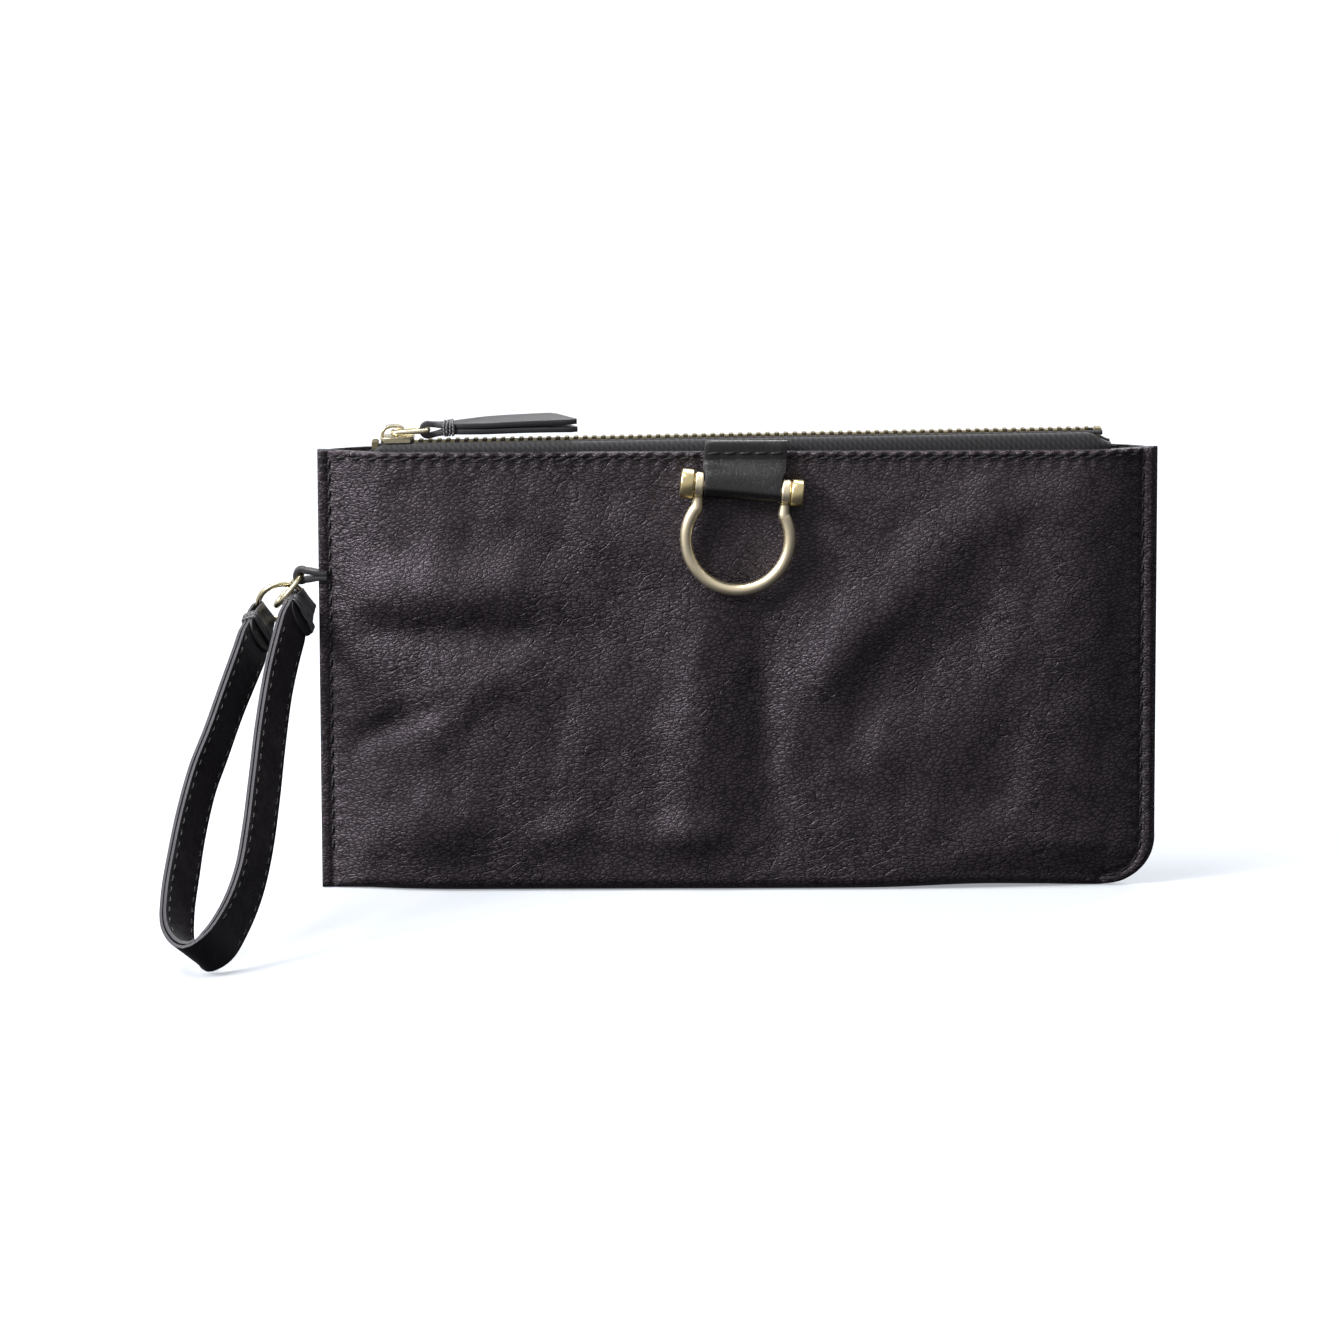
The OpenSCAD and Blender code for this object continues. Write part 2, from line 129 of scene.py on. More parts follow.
def strip_ring(left, right, half_t, bevel, cols=7, arc=3):
    """Sections of a flat strip with softened edges, and which of their sides are cut edges."""
    left, right, half_t = np.broadcast_arrays(*np.atleast_1d(left, right, half_t))
    left, right, half_t = (v[:, None] for v in (left, right, half_t))
    bevel = np.minimum(bevel, 0.49 * (left + right))
    f = np.linspace(0, 1, cols)[None]
    flat = (bevel - left) + f * (left + right - 2 * bevel)
    a = np.radians(np.linspace(90, -90, 2 * arc + 1))[None, 1:-1]
    bulge = np.abs(np.cos(a)) ** 0.7 * bevel
    rise = np.sign(np.sin(a)) * np.abs(np.sin(a)) ** 0.7 * half_t
    x = np.hstack([flat, right - bevel + bulge, flat[:, ::-1], bevel - left - bulge[:, ::-1]])
    y = np.hstack([half_t + 0 * flat, rise, -half_t + 0 * flat, rise[:, ::-1]])
    edge = np.zeros(x.shape[1], int)
    edge[cols - 1:cols + 2 * arc - 1] = 1
    edge[2 * cols + 2 * arc - 2:] = 1
    return np.stack([x, y], -1), edge


def band(path, across, left, right, thick, bevel=0.25, closed=False, cols=7):
    """Flat leather strip along a path: points, faces, and tag 1 on its cut edges."""
    path = np.asarray(path, float)
    t = tangents(path, closed)
    w = square_to(across, t)
    ring, edge = strip_ring(left, right, np.asarray(thick) / 2, bevel, cols)
    points, faces, tags = sweep(path, w, np.cross(w, t), ring, closed)
    spans = len(path) if closed else len(path) - 1
    tags = list(np.tile(edge, spans)) + [1] * (len(faces) - spans * len(edge))
    return points, faces, tags


def slab(outer, inner):
    """Closed solid between two grids of points of the same shape; its rim has tag 1."""
    rows, cols = outer.shape[:2]
    n = rows * cols
    skin = grid_faces(rows, cols)
    index = np.arange(n).reshape(rows, cols)
    rim = np.concatenate([index[0], index[1:, -1], index[-1, -2::-1], index[-2:0:-1, 0]])
    after = np.roll(rim, -1)
    side = np.stack([rim, after, after + n, rim + n], -1)
    faces = np.vstack([skin, skin[:, ::-1] + n, side]).tolist()
    points = np.vstack([outer.reshape(-1, 3), inner.reshape(-1, 3)])
    return points, faces, [0] * (2 * len(skin)) + [1] * len(side)


def block(plan, low, high, bevel=0.12, segments=2):
    """Plan outline (x, y) raised from low to high, with every edge rounded."""
    mesh = bmesh.new()
    lower = [mesh.verts.new((x, y, low)) for x, y in plan]
    face = mesh.faces.new(lower)
    upper = bmesh.ops.extrude_face_region(mesh, geom=[face])["geom"]
    for v in upper:
        if isinstance(v, bmesh.types.BMVert):
            v.co.z = high
    bmesh.ops.recalc_face_normals(mesh, faces=mesh.faces[:])
    bmesh.ops.bevel(mesh, geom=mesh.edges[:], offset=bevel, segments=segments, affect="EDGES",
                    clamp_overlap=True)
    mesh.verts.index_update()
    points = np.array([v.co[:] for v in mesh.verts])
    faces = [[v.index for v in f.verts] for f in mesh.faces]
    mesh.free()
    return points, faces, [0] * len(faces)


def lathe(profile, centre, axis, sides=48):
    """Profile of (along, radius) turned round an axis, closed at both ends."""
    axis = unit(np.array(axis, float))
    side = square_to(np.array([0.0, 1.0, 0.0]), axis[None])[0]
    along = np.array([p[0] for p in profile], float)[:, None]
    ring = circle(1, sides)[None] * np.array([p[1] for p in profile])[:, None, None]
    return sweep(np.asarray(centre) + along * axis, side, np.cross(axis, side), ring)


def moved(part, offset=(0, 0, 0), turn=None):
    points = part[0] if turn is None else part[0] @ np.array(turn).T
    return points + np.asarray(offset, float), part[1], part[2]


def added(name, data):
    """New object in the scene's collection."""
    made = bpy.data.objects.new(name, data)
    bpy.context.scene.collection.objects.link(made)
    return made


def make(name, parts, body, materials, replaces=(), sharp=35):
    """One object from parts in millimetres, riding on a body."""
    points, faces, tags, start = [], [], [], 0
    for p, f, t in parts:
        points.append(p)
        faces += [[i + start for i in face] for face in f]
        tags += list(t)
        start += len(p)
    mesh = bpy.data.meshes.new(name)
    mesh.from_pydata((np.vstack(points) * MM).tolist(), [], faces)
    for m in materials:
        mesh.materials.append(m)
    if len(materials) > 1:
        mesh.polygons.foreach_set("material_index", np.array(tags, np.int32))
    work = bmesh.new()
    work.from_mesh(mesh)
    bmesh.ops.recalc_face_normals(work, faces=work.faces[:])
    work.to_mesh(mesh)
    work.free()
    mesh.polygons.foreach_set("use_smooth", [True] * len(mesh.polygons))
    mesh.set_sharp_from_angle(angle=math.radians(sharp))
    piece = added(name, mesh)
    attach(piece, body)
    if replaces:
        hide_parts(*replaces)
    return piece


# ---------- materials ----------

class Shader:
    """A Principled material with short calls for its nodes."""

    def __init__(self, name, **sockets):
        self.material = bpy.data.materials.new(name)
        self.material.use_nodes = True
        self.tree = self.material.node_tree
        self.bsdf = self.tree.nodes["Principled BSDF"]
        for key, value in sockets.items():
            self.bsdf.inputs[key.replace("_", " ")].default_value = value
        self.place = self.add("ShaderNodeTexCoord").outputs["Object"]

    def add(self, kind, inputs=None, **settings):
        node = self.tree.nodes.new(kind)
        for key, value in settings.items():
            setattr(node, key, value)
        for key, value in (inputs or {}).items():
            if isinstance(value, bpy.types.NodeSocket):
                self.tree.links.new(value, node.inputs[key])
            else:
                node.inputs[key].default_value = value
        return node

    def scaled(self, scale, place=None):
        """The object's place in units of 1 / scale metres along each axis."""
        return self.add("ShaderNodeMapping", {"Vector": place or self.place, "Scale": scale}).outputs[0]

    def noise(self, place, scale, detail=3.0, rough=0.5):
        return self.add("ShaderNodeTexNoise", {"Vector": place, "Scale": scale, "Detail": detail,
                                               "Roughness": rough}).outputs["Fac"]

    def bent(self, scale, amount):
        """The object's place pushed about by a soft noise, in metres."""
        push = self.add("ShaderNodeTexNoise", {"Vector": self.place, "Scale": scale, "Detail": 2.0})
        centred = self.add("ShaderNodeVectorMath", {0: push.outputs["Color"], 1: (0.5, 0.5, 0.5)},
                           operation="SUBTRACT")
        size = self.add("ShaderNodeVectorMath", {0: centred.outputs[0], "Scale": amount},
                        operation="SCALE")
        return self.add("ShaderNodeVectorMath", {0: self.place, 1: size.outputs[0]}).outputs[0]

    def cells(self, place, scale, feature="DISTANCE_TO_EDGE"):
        return self.add("ShaderNodeTexVoronoi", {"Vector": place, "Scale": scale},
                        feature=feature).outputs["Distance"]

    def span(self, value, a, b, c=0.0, d=1.0):
        return self.add("ShaderNodeMapRange", {"Value": value, "From Min": a, "From Max": b,
                                               "To Min": c, "To Max": d},
                        interpolation_type="SMOOTHSTEP").outputs[0]

    def math(self, operation, a, b):
        return self.add("ShaderNodeMath", {0: a, 1: b}, operation=operation).outputs[0]

    def total(self, *terms):
        """Sum of (value, weight) pairs."""
        made = None
        for value, weight in terms:
            part = self.math("MULTIPLY", value, weight)
            made = part if made is None else self.math("ADD", made, part)
        return made

    def colour(self, value, *stops):
        """Colour ramp, with stops of (place, (r, g, b))."""
        node = self.add("ShaderNodeValToRGB", {"Fac": value})
        marks = node.color_ramp.elements
        while len(marks) < len(stops):
            marks.new(0.5)
        for mark, (place, rgb) in zip(marks, stops):
            mark.position = place
            mark.color = (*rgb, 1)
        return node.outputs["Color"]

    def finish(self, colour=None, rough=None, height=None, depth=0.0002, strength=1.0):
        links = self.tree.links
        if colour is not None:
            links.new(colour, self.bsdf.inputs["Base Color"])
        if rough is not None:
            links.new(rough, self.bsdf.inputs["Roughness"])
        if height is not None:
            bump = self.add("ShaderNodeBump", {"Height": height, "Distance": depth, "Strength": strength})
            links.new(bump.outputs[0], self.bsdf.inputs["Normal"])
        return self.material


def pebbled_leather():
    """Soft black leather with a fine pebble and thin creases, glossier on the pebble tops; its colour has
    painted highlights on the pebble tops and painted shade in the creases.
    """
    s = Shader("pebbled_leather")
    bent = s.bent(330, 0.0009)
    cell = s.cells(s.scaled((0.66, 0.9, 1.15), bent), 980)
    pebble = s.span(cell, 0.0, 0.2)
    dome = s.span(cell, 0.0, 0.55)
    small = s.span(s.cells(s.scaled((0.8, 0.9, 1.1), bent), 2600), 0.0, 0.22)
    leaning = s.add("ShaderNodeMapping", {"Vector": s.bent(120, 0.005),
                                          "Rotation": (0, math.radians(-24), 0),
                                          "Scale": (0.4, 0.7, 1.25)}).outputs[0]
    crease = s.span(s.cells(leaning, 420), 0.0, 0.06)
    creased_here = s.span(s.noise(s.place, 45, 3.0), 0.42, 0.62)
    crease = s.math("MAXIMUM", crease, s.math("SUBTRACT", 1.0, creased_here))
    fine = s.noise(s.place, 5200, 3.0, 0.65)
    height = s.total((pebble, 0.3), (dome, 0.25), (small, 0.12), (crease, 0.5), (fine, 0.06))
    patches = s.noise(s.place, 26, 4.0)
    # Colour: painted highlight on the pebble tops and painted shade along the creases, over random patches
    # and fine noise.
    tone = s.total((pebble, 0.42), (crease, 0.28), (patches, 0.3), (fine, 0.2))
    colour = s.colour(tone, (0.4, (0.0004, 0.0003, 0.0004)), (0.66, (0.0062, 0.0046, 0.0058)),
                      (0.98, (0.03, 0.024, 0.028)))
    rough = s.total((patches, 0.1), (fine, 0.14), (pebble, -0.08))
    rough = s.math("ADD", rough, 0.32)
    s.bsdf.inputs["Specular Tint"].default_value = (1.0, 0.88, 1.0, 1.0)
    return s.finish(colour, rough, height, 0.0002, 1.0)


def smooth_leather(name, base, rough, streaks):
    """Polished black leather with fine streaks along one axis."""
    s = Shader(name)
    streak = s.noise(s.scaled(streaks), 1000, 4.0, 0.6)
    pores = s.span(s.cells(s.place, 3200, "F1"), 0.05, 0.4)
    patches = s.noise(s.place, 120, 3.0)
    tone = s.total((streak, 0.7), (patches, 0.4))
    dark = tuple(0.45 * c for c in base)
    light = tuple(2.2 * c for c in base)
    colour = s.colour(tone, (0.3, dark), (0.6, base), (0.85, light))
    height = s.total((streak, 0.7), (pores, 0.25), (patches, 0.6))
    return s.finish(colour, s.span(tone, 0.2, 0.9, rough - 0.08, rough + 0.16), height, 0.00012, 0.8)


def cut_edge(name, base):
    """Fibrous cut and painted edge of leather."""
    s = Shader(name)
    fibre = s.noise(s.place, 2600, 4.0, 0.7)
    patches = s.noise(s.place, 160, 3.0)
    tone = s.total((fibre, 0.6), (patches, 0.4))
    colour = s.colour(tone, (0.3, tuple(0.5 * c for c in base)), (0.7, tuple(1.4 * c for c in base)))
    return s.finish(colour, s.span(fibre, 0.2, 0.8, 0.45, 0.7), fibre, 0.00015, 0.7)


def woven(name, dark, light, pitch, rough=0.75, lean=45):
    """Twill cloth: ribs that lean across a fine grid of yarns."""
    s = Shader(name)
    s.bsdf.inputs["Sheen Weight"].default_value = 0.15
    turned = s.add("ShaderNodeMapping", {"Vector": s.bent(900, 0.0001),
                                         "Rotation": (0, math.radians(lean), 0)}).outputs[0]
    rib = s.add("ShaderNodeTexWave", {"Vector": turned, "Scale": 0.05 / pitch, "Distortion": 0.4,
                                      "Detail": 1.0}, bands_direction="X").outputs["Fac"]
    yarn = s.add("ShaderNodeTexWave", {"Vector": s.place, "Scale": 0.05 / pitch, "Distortion": 0.3,
                                       "Detail": 1.0}, bands_direction="X").outputs["Fac"]
    fuzz = s.noise(s.place, 7000, 2.0, 0.7)
    tone = s.total((rib, 0.5), (yarn, 0.25), (fuzz, 0.35))
    colour = s.colour(tone, (0.25, dark), (0.85, light))
    return s.finish(colour, s.span(fuzz, 0, 1, rough - 0.1, rough + 0.1), tone, 0.00018, 0.8)


def thread_material(name, dark, light):
    """Twisted waxed thread."""
    s = Shader(name)
    twist = s.add("ShaderNodeTexWave", {"Vector": s.place, "Scale": 700.0, "Distortion": 0.6,
                                        "Detail": 1.0}, bands_direction="DIAGONAL").outputs["Fac"]
    fuzz = s.noise(s.place, 6000, 2.0)
    tone = s.total((twist, 0.6), (fuzz, 0.4))
    return s.finish(s.colour(tone, (0.2, dark), (0.9, light)), s.span(fuzz, 0, 1, 0.45, 0.65),
                    twist, 0.00012, 0.8)


def brass(name, base, rough, stain=0.45):
    """Antiqued brass: satin metal with soft brown staining and fine scratches."""
    s = Shader(name, Metallic=1.0)
    patches = s.noise(s.place, 160, 4.0, 0.6)
    scratch = s.noise(s.scaled((1.0, 6.0, 1.0)), 1400, 3.0, 0.7)
    pits = s.span(s.cells(s.place, 1500, "F1"), 0.02, 0.2)
    tone = s.total((patches, 0.65), (scratch, 0.2), (pits, 0.2))
    stained = tuple(stain * c * w for c, w in zip(base, (1.0, 0.93, 0.8)))
    colour = s.colour(tone, (0.22, stained), (0.5, base), (0.95, tuple(min(1, 1.15 * c) for c in base)))
    height = s.total((scratch, 0.5), (pits, 0.5))
    return s.finish(colour, s.span(tone, 0.2, 0.9, rough + 0.12, rough - 0.04), height, 0.00003, 0.5)


LEATHER = pebbled_leather()
LEATHER_EDGE = cut_edge("leather_edge", (0.012, 0.011, 0.013))
TAB_LEATHER = smooth_leather("tab_leather", (0.0062, 0.005, 0.0062), 0.3, (1.5, 1.5, 0.1))
TAB_EDGE = cut_edge("tab_edge", (0.016, 0.0145, 0.019))
PULL_LEATHER = smooth_leather("pull_leather", (0.008, 0.0078, 0.0105), 0.42, (0.2, 1.4, 1.6))
STRAP_LEATHER = smooth_leather("strap_leather", (0.0075, 0.0062, 0.0082), 0.33, (1.1, 0.5, 0.6))
STRAP_EDGE = cut_edge("strap_edge", (0.034, 0.031, 0.038))
LINING = woven("lining_cloth", (0.02, 0.017, 0.018), (0.075, 0.066, 0.07), 0.00035)
TAPE = woven("zip_tape_twill", (0.0025, 0.0023, 0.0028), (0.017, 0.0155, 0.0195), 0.00019)
THREAD = thread_material("black_thread", (0.0015, 0.0015, 0.0017), (0.008, 0.0075, 0.008))
WRAP_THREAD = thread_material("binding_thread", (0.02, 0.02, 0.023), (0.16, 0.16, 0.17))
ZIP_BRASS = brass("zip_brass", (0.3, 0.26, 0.16), 0.36, 0.25)
SLIDER_BRASS = brass("slider_brass", (0.66, 0.6, 0.42), 0.24)
HEAD_BRASS = brass("pin_brass", (0.72, 0.6, 0.33), 0.26, 0.35)
BOW_BRASS = brass("bow_brass", (0.93, 0.8, 0.57), 0.33, 0.5)
RING_BRASS = brass("ring_brass", (0.68, 0.62, 0.42), 0.26, 0.4)


# ---------- pouch ----------

HALF_W, _, TOP = np.array(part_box("outer_leather")[1]) / MM
CORNER_R = 11.5
LEATHER_T = 1.2
SEAM_HALF = 1.34
MOUTH_HALF = 5.6
BELLY_HALF = 7.5
FOLD_HALF = 6.4
BASE_EDGE_R = 3.6
BELLY_Z = 44.0
STITCH_PITCH = 3.75
SEAM_LINE = 2.5
TOP_LINE = 1.7
FRONT_EDGE_STEP = 1.1
LEFT_EDGE_STEP = 0.8
RELIEF_GAIN = 2.9
RIPPLE_HEIGHT = 0.0045

# Soft swells and hollows of the front: x, z, half length, half width, turn in degrees, height.
FRONT_RELIEF = [
    (-72, 74, 30, 7.5, 2, 0.85), (-73, 64, 26, 4.5, 0, -0.4), (-64, 50, 13, 6, 28, 0.6),
    (-84, 41, 14, 3.5, 24, -0.55), (-77, 16, 15, 8, 8, 0.7), (-42, 15, 7, 5, 10, 0.5),
    (-14, 14, 10, 5, 0, 0.45), (-10, 42, 8, 30, 0, 0.75), (7, 40, 5, 30, 4, -0.6),
    (22, 56, 7, 18, 0, 0.55), (35, 70, 30, 7, 47, 0.6), (48, 58, 28, 9, 47, -0.4),
    (38, 36, 9, 8, 20, 0.5), (64, 28, 8, 12, 0, -0.5), (84, 70, 8, 34, 0, 0.3),
    (-30, 88, 16, 6, -12, 0.3), (62, 92, 12, 6, 20, 0.35), (78, 14, 12, 7, 20, -0.25)]
BACK_RELIEF = [
    (-60, 70, 26, 9, 20, 0.6), (-30, 40, 9, 28, -8, 0.6), (10, 62, 24, 7, -35, -0.5),
    (40, 45, 9, 26, 10, 0.6), (68, 74, 20, 8, -15, 0.45), (-74, 26, 16, 7, 12, 0.5),
    (20, 18, 22, 7, 0, 0.4)]


def soft_min(a, b, reach=2.0):
    return -reach * np.logaddexp(-a / reach, -b / reach)


def outline_low(x):
    """Lowest point of the front outline: zero, rising round the corner away from the strap."""
    over = np.clip(x - (HALF_W - CORNER_R), 0, CORNER_R)
    return CORNER_R - np.sqrt(CORNER_R**2 - over**2)


def edge_distances(x, z):
    """Distance to the left edge, and to the right edge round its corner."""
    centre_x = HALF_W - CORNER_R
    round_corner = CORNER_R - np.hypot(x - centre_x, z - CORNER_R)
    before_corner = z + (0.45 + 0.55 * (np.minimum(z, CORNER_R) / CORNER_R) ** 2) * (centre_x - x)
    lower = np.where(x > centre_x, round_corner, before_corner)
    right = np.where(z < CORNER_R, np.minimum(HALF_W - x, lower), HALF_W - x)
    return x + HALF_W, right


def half_thick(x, z):
    """Half thickness of the filled pouch: flat at the sewn edges, fullest at the belly."""
    left, right = edge_distances(x, z)
    reach = 17 + 17 * ramp(TOP - z, 0, 45)
    near = np.maximum(soft_min(left, right) - 3.2, 0) / reach
    rise = 1 - (1 - np.clip(near, 0, 1)) ** 2.2
    above = BELLY_HALF - (BELLY_HALF - MOUTH_HALF) * np.clip((z - BELLY_Z) / (TOP - BELLY_Z), 0, 1) ** 2
    full = above - (BELLY_HALF - FOLD_HALF) * np.clip((BELLY_Z - z) / BELLY_Z, 0, 1) ** 2
    return SEAM_HALF + (full - SEAM_HALF) * rise


def ripples(x, z, seed):
    """Faint uneven waves over a panel, from seeded random directions and lengths."""
    draw = np.random.default_rng(seed)
    made = 0 * x
    for _ in range(26):
        length = draw.uniform(5, 22)
        turn, shift = draw.uniform(0, np.pi), draw.uniform(0, 2 * np.pi)
        along = x * np.cos(turn) + z * np.sin(turn)
        made = made + length**0.8 * np.sin(along * 2 * np.pi / length + shift)
    return made * RIPPLE_HEIGHT


def relief(x, z, side):
    """Outward swell of a panel; nothing at the sewn edges and little at the mouth."""
    made = ripples(x, z, 5 if side < 0 else 8)
    for cx, cz, long, wide, turn, height in (FRONT_RELIEF if side < 0 else BACK_RELIEF):
        c, s = math.cos(math.radians(turn)), math.sin(math.radians(turn))
        along = (x - cx) * c + (z - cz) * s
        off = (z - cz) * c - (x - cx) * s
        made = made + RELIEF_GAIN * height * np.exp(-(along / long) ** 2 - (off / wide) ** 2)
    left, right = edge_distances(x, z)
    fade = ramp(np.minimum(left, right), 3.5, 11)
    return made * fade * ramp(TOP - z, 1, 9) * (0.35 + 0.65 * ramp(z, 0, 12))


def sewn(x, z):
    """Small shape along the stitch lines: sunk rows, and puckers between the stitches."""
    left, right = edge_distances(x, z)
    edge = np.minimum(left, right)
    wave_z = np.cos(2 * np.pi * (TOP - TOP_LINE - z) / STITCH_PITCH)
    wave_x = np.cos(2 * np.pi * x / STITCH_PITCH)
    down = TOP - z
    side = -0.5 * bell(edge - SEAM_LINE, 0.6) + 0.07 * wave_z * bell(edge - 1.3, 0.8)
    side = side + 0.13 * wave_z * bell(edge - 4.0, 1.3)
    mouth = 0.45 * ramp(down, 2.5, 1.9) - 0.4 * bell(down - TOP_LINE, 0.42)
    mouth = mouth + 0.42 * wave_x * bell(down - 0.8, 0.6) + 0.16 * wave_x * bell(down - 3.0, 1.2)
    return side + mouth * ramp(edge, 1.5, 4)


def bottom_lift(x, z):
    """The base fold clears the table a little towards the right."""
    return 0.7 * bell(x - 58, 17) * ramp(z, 34, 0)


def fold_radius(x):
    low = outline_low(x)
    return np.clip(half_thick(x, low + 4), SEAM_HALF, BASE_EDGE_R)


def wall_y(x, z, side):
    """Inner face of a panel, as a distance from the middle plane."""
    return np.maximum(half_thick(x, z) - LEATHER_T, 0.1) + relief(x, z, side)


def panel_rows(side, xs):
    """Outer and inner points of one panel, from its top edge to the middle of the base fold."""
    band_rows = TOP - np.array([0, 0.05, 0.25, 0.55, 0.9, 1.2, 1.5, 1.8, 2.1, 2.5, 3.0, 3.6, 4.3])
    low = outline_low(xs)
    radius = fold_radius(xs)
    start = low + radius
    outer, inner = [], []
    rows = [(z + 0 * xs, 1.0, 0.0) for z in band_rows]
    falls = np.linspace(0, 1, 121)[1:]
    rows += [((1 - f) * band_rows[-1] + f * start, 1.0, 0.0) for f in falls]
    turns = np.radians(np.linspace(0, 90, 10))[1:]
    rows += [(start, math.cos(a), math.sin(a)) for a in turns]
    # The last row runs flat to the middle plane, so the base is a flat strip.
    rows += [(start, 0.0, 1.0)]
    soften = [0.75, 0.42, 0.12] + [0] * len(rows)
    for row, ((z, keep, drop), soft) in enumerate(zip(rows, soften)):
        half = half_thick(xs, z)
        flat = np.clip(half - radius, 0, None) if row < len(rows) - 1 else 0 * xs
        swell = relief(xs, z, side) + sewn(xs, z)
        outer_z = z - radius * drop
        thin = np.maximum(radius - LEATHER_T, 0.12)
        inner_z = z - thin * drop
        edge_soft = 0.3 * (bell(xs + HALF_W, 0.25) + bell(xs - HALF_W, 0.25))
        step = FRONT_EDGE_STEP * ramp(xs, 78, HALF_W) * keep * (side < 0)
        step = step + LEFT_EDGE_STEP * ramp(-xs, 94, HALF_W)
        seam = ramp(xs, HALF_W - CORNER_R - 2, HALF_W - CORNER_R + 2) * drop**8 * 0.5
        outer_y = (half - flat + swell - soft - edge_soft) * keep + flat
        inner_y = (np.maximum(half - flat - LEATHER_T, 0.1) + relief(xs, z, side) + edge_soft * 0.6) * keep
        inner_y = inner_y + flat
        outer_z = outer_z + seam + bottom_lift(xs, outer_z)
        inner_z = np.maximum(inner_z + bottom_lift(xs, inner_z), outer_z + 0.25 * drop)
        outer.append(np.stack([xs - step, side * outer_y, outer_z], -1))
        inner.append(np.stack([xs - step, side * inner_y, inner_z], -1))
    return outer, inner


def pouch_piece():
    left = np.arange(-HALF_W, -HALF_W + 6.3, 0.35)
    middle = np.linspace(left[-1] + 0.55, HALF_W - CORNER_R, 320)
    turn = np.radians(np.linspace(0, 90, 32))[1:]
    xs = np.concatenate([left, middle, HALF_W - CORNER_R + CORNER_R * np.sin(turn)])
    front = panel_rows(-1, xs)
    back = panel_rows(1, xs)
    outer = np.array(front[0] + back[0][-2::-1])
    inner = np.array(front[1] + back[1][-2::-1])
    make("leather_pouch", [slab(outer, inner)], "pouch", [LEATHER, LEATHER_EDGE],
         ["outer_leather"], 50)


def wall_sheet(name, side, inset, x_half, z0, z1, material, node):
    """Thin sheet against the inside of a wall."""
    x, z = np.meshgrid(np.linspace(-x_half, x_half, 90), np.linspace(z1, z0, 46))
    y = wall_y(x, z, side) - inset
    ease = 0.12 * np.sin(x / 9.0) * ramp(z1 - z, 14, 0)
    outer = np.stack([x, side * np.maximum(y - ease, 0.45), z], -1)
    inner = np.stack([x, side * np.maximum(y - ease - 0.35, 0.12), z], -1)
    make(name, [slab(outer, inner)], "pouch", [material], [node])


def inside_pieces():
    for side, end in ((-1, "front"), (1, "back")):
        wall_sheet("cloth_lining_" + end, side, 0.08, 90, 6.5, 102, LINING, "lining_" + end)
    tiers = [("high", 90), ("middle", 77), ("low", 64)]
    for tier, (label, height) in enumerate(tiers):
        wall_sheet("pocket_" + label, 1, 0.5 + 0.45 * tier, 86, 11, height, LINING, "card_pocket_" + label)
    wall_sheet("pocket_slip", -1, 0.5, 86, 11, 76, LINING, "slip_pocket")


# ---------- stitching ----------

def stitch(centre, along, out, length=2.7, radius=0.33):
    """One stitch: a short length of thread that dives into the leather at both ends."""
    u = np.linspace(-1, 1, 9)
    along, out = unit(along), unit(out)
    height = 0.16 - 0.42 * np.abs(u) ** 3
    path = np.asarray(centre) + u[:, None] * length / 2 * along + height[:, None] * out
    return tube(path, radius * (1 - 0.25 * np.abs(u) ** 4), 8, hint=out)


def panel_stitch(x, z, side, turn):
    """A stitch on a panel, turned from the X axis in the panel's plane."""
    y = half_thick(x, z) + relief(x, z, side) + sewn(x, z)
    step = FRONT_EDGE_STEP * float(ramp(x, 78, HALF_W)) if side < 0 else 0
    step += LEFT_EDGE_STEP * float(ramp(-x, 94, HALF_W))
    a = math.radians(turn)
    return stitch((x - step, side * float(y), z), (math.cos(a), 0, math.sin(a)), (0, side, 0))


def corner_stitches():
    """Stitches round the lower corner away from the strap, on both panels."""
    turn_r = CORNER_R - SEAM_LINE
    row = []
    for side in (-1, 1):
        for a in np.radians(np.arange(10, 92, 23)):
            x = HALF_W - CORNER_R + turn_r * math.cos(a)
            row.append(panel_stitch(x, CORNER_R - turn_r * math.sin(a), side, 90 - math.degrees(a)))
    return row


def pouch_stitching():
    line_z = TOP - TOP_LINE
    count = int((2 * HALF_W - 4 * SEAM_LINE) / STITCH_PITCH)
    for side, end in ((-1, "front"), (1, "back")):
        places = [(i - count / 2) * STITCH_PITCH for i in range(count + 1)]
        row = [panel_stitch(x, line_z, side, 6) for x in places if side > 0 or abs(x - PIN[0]) > 11]
        make("mouth_stitches_" + end, row, "pouch", [THREAD], ["stitching_top_" + end])
    for x, foot, end in ((SEAM_LINE - HALF_W, 6, "left"), (HALF_W - SEAM_LINE, CORNER_R, "right")):
        n = int((line_z - foot) / STITCH_PITCH)
        row = [panel_stitch(x, line_z - (i + 0.5) * STITCH_PITCH, side, 84)
               for side in (-1, 1) for i in range(n)]
        if end == "right":
            row += corner_stitches()
        make("side_stitches_" + end, row, "pouch", [THREAD], ["stitching_side_" + end])


# ---------- zip ----------

ZIP_Z = 110.5
ZIP_TILT = math.radians(0.85)
TEETH_X0 = -85.0
TOOTH_PITCH = 2.2
TEETH = 77
SLIDER_X = -82.4
EYE_X, EYE_Z = -1.0, 2.8
LINK_LIFT = math.radians(3)
LINK_L, LINK_HALF, LINK_R, LINK_BEND = 8.4, 2.15, 0.6, 1.1
PULL_LIFT = math.radians(1.2)


def turn_up(angle):
    """Matrix that turns +X up towards +Z."""
    c, s = math.cos(angle), math.sin(angle)
    return np.array([[c, 0, -s], [0, 1, 0], [s, 0, c]])


ZIP_TURN = turn_up(ZIP_TILT)
PULL_LENGTH, PULL_LAYER = 36.0, 1.35
PULL_DROOP = 1.5
PULL_ROLL = math.radians(9)


def in_zip(part, x=0.0, z=0.0):
    """Moves a part from the zip's own frame (X along the chain) to the wallet's."""
    return moved(moved(part, (x, 0, z)), (0, 0, ZIP_Z), ZIP_TURN)


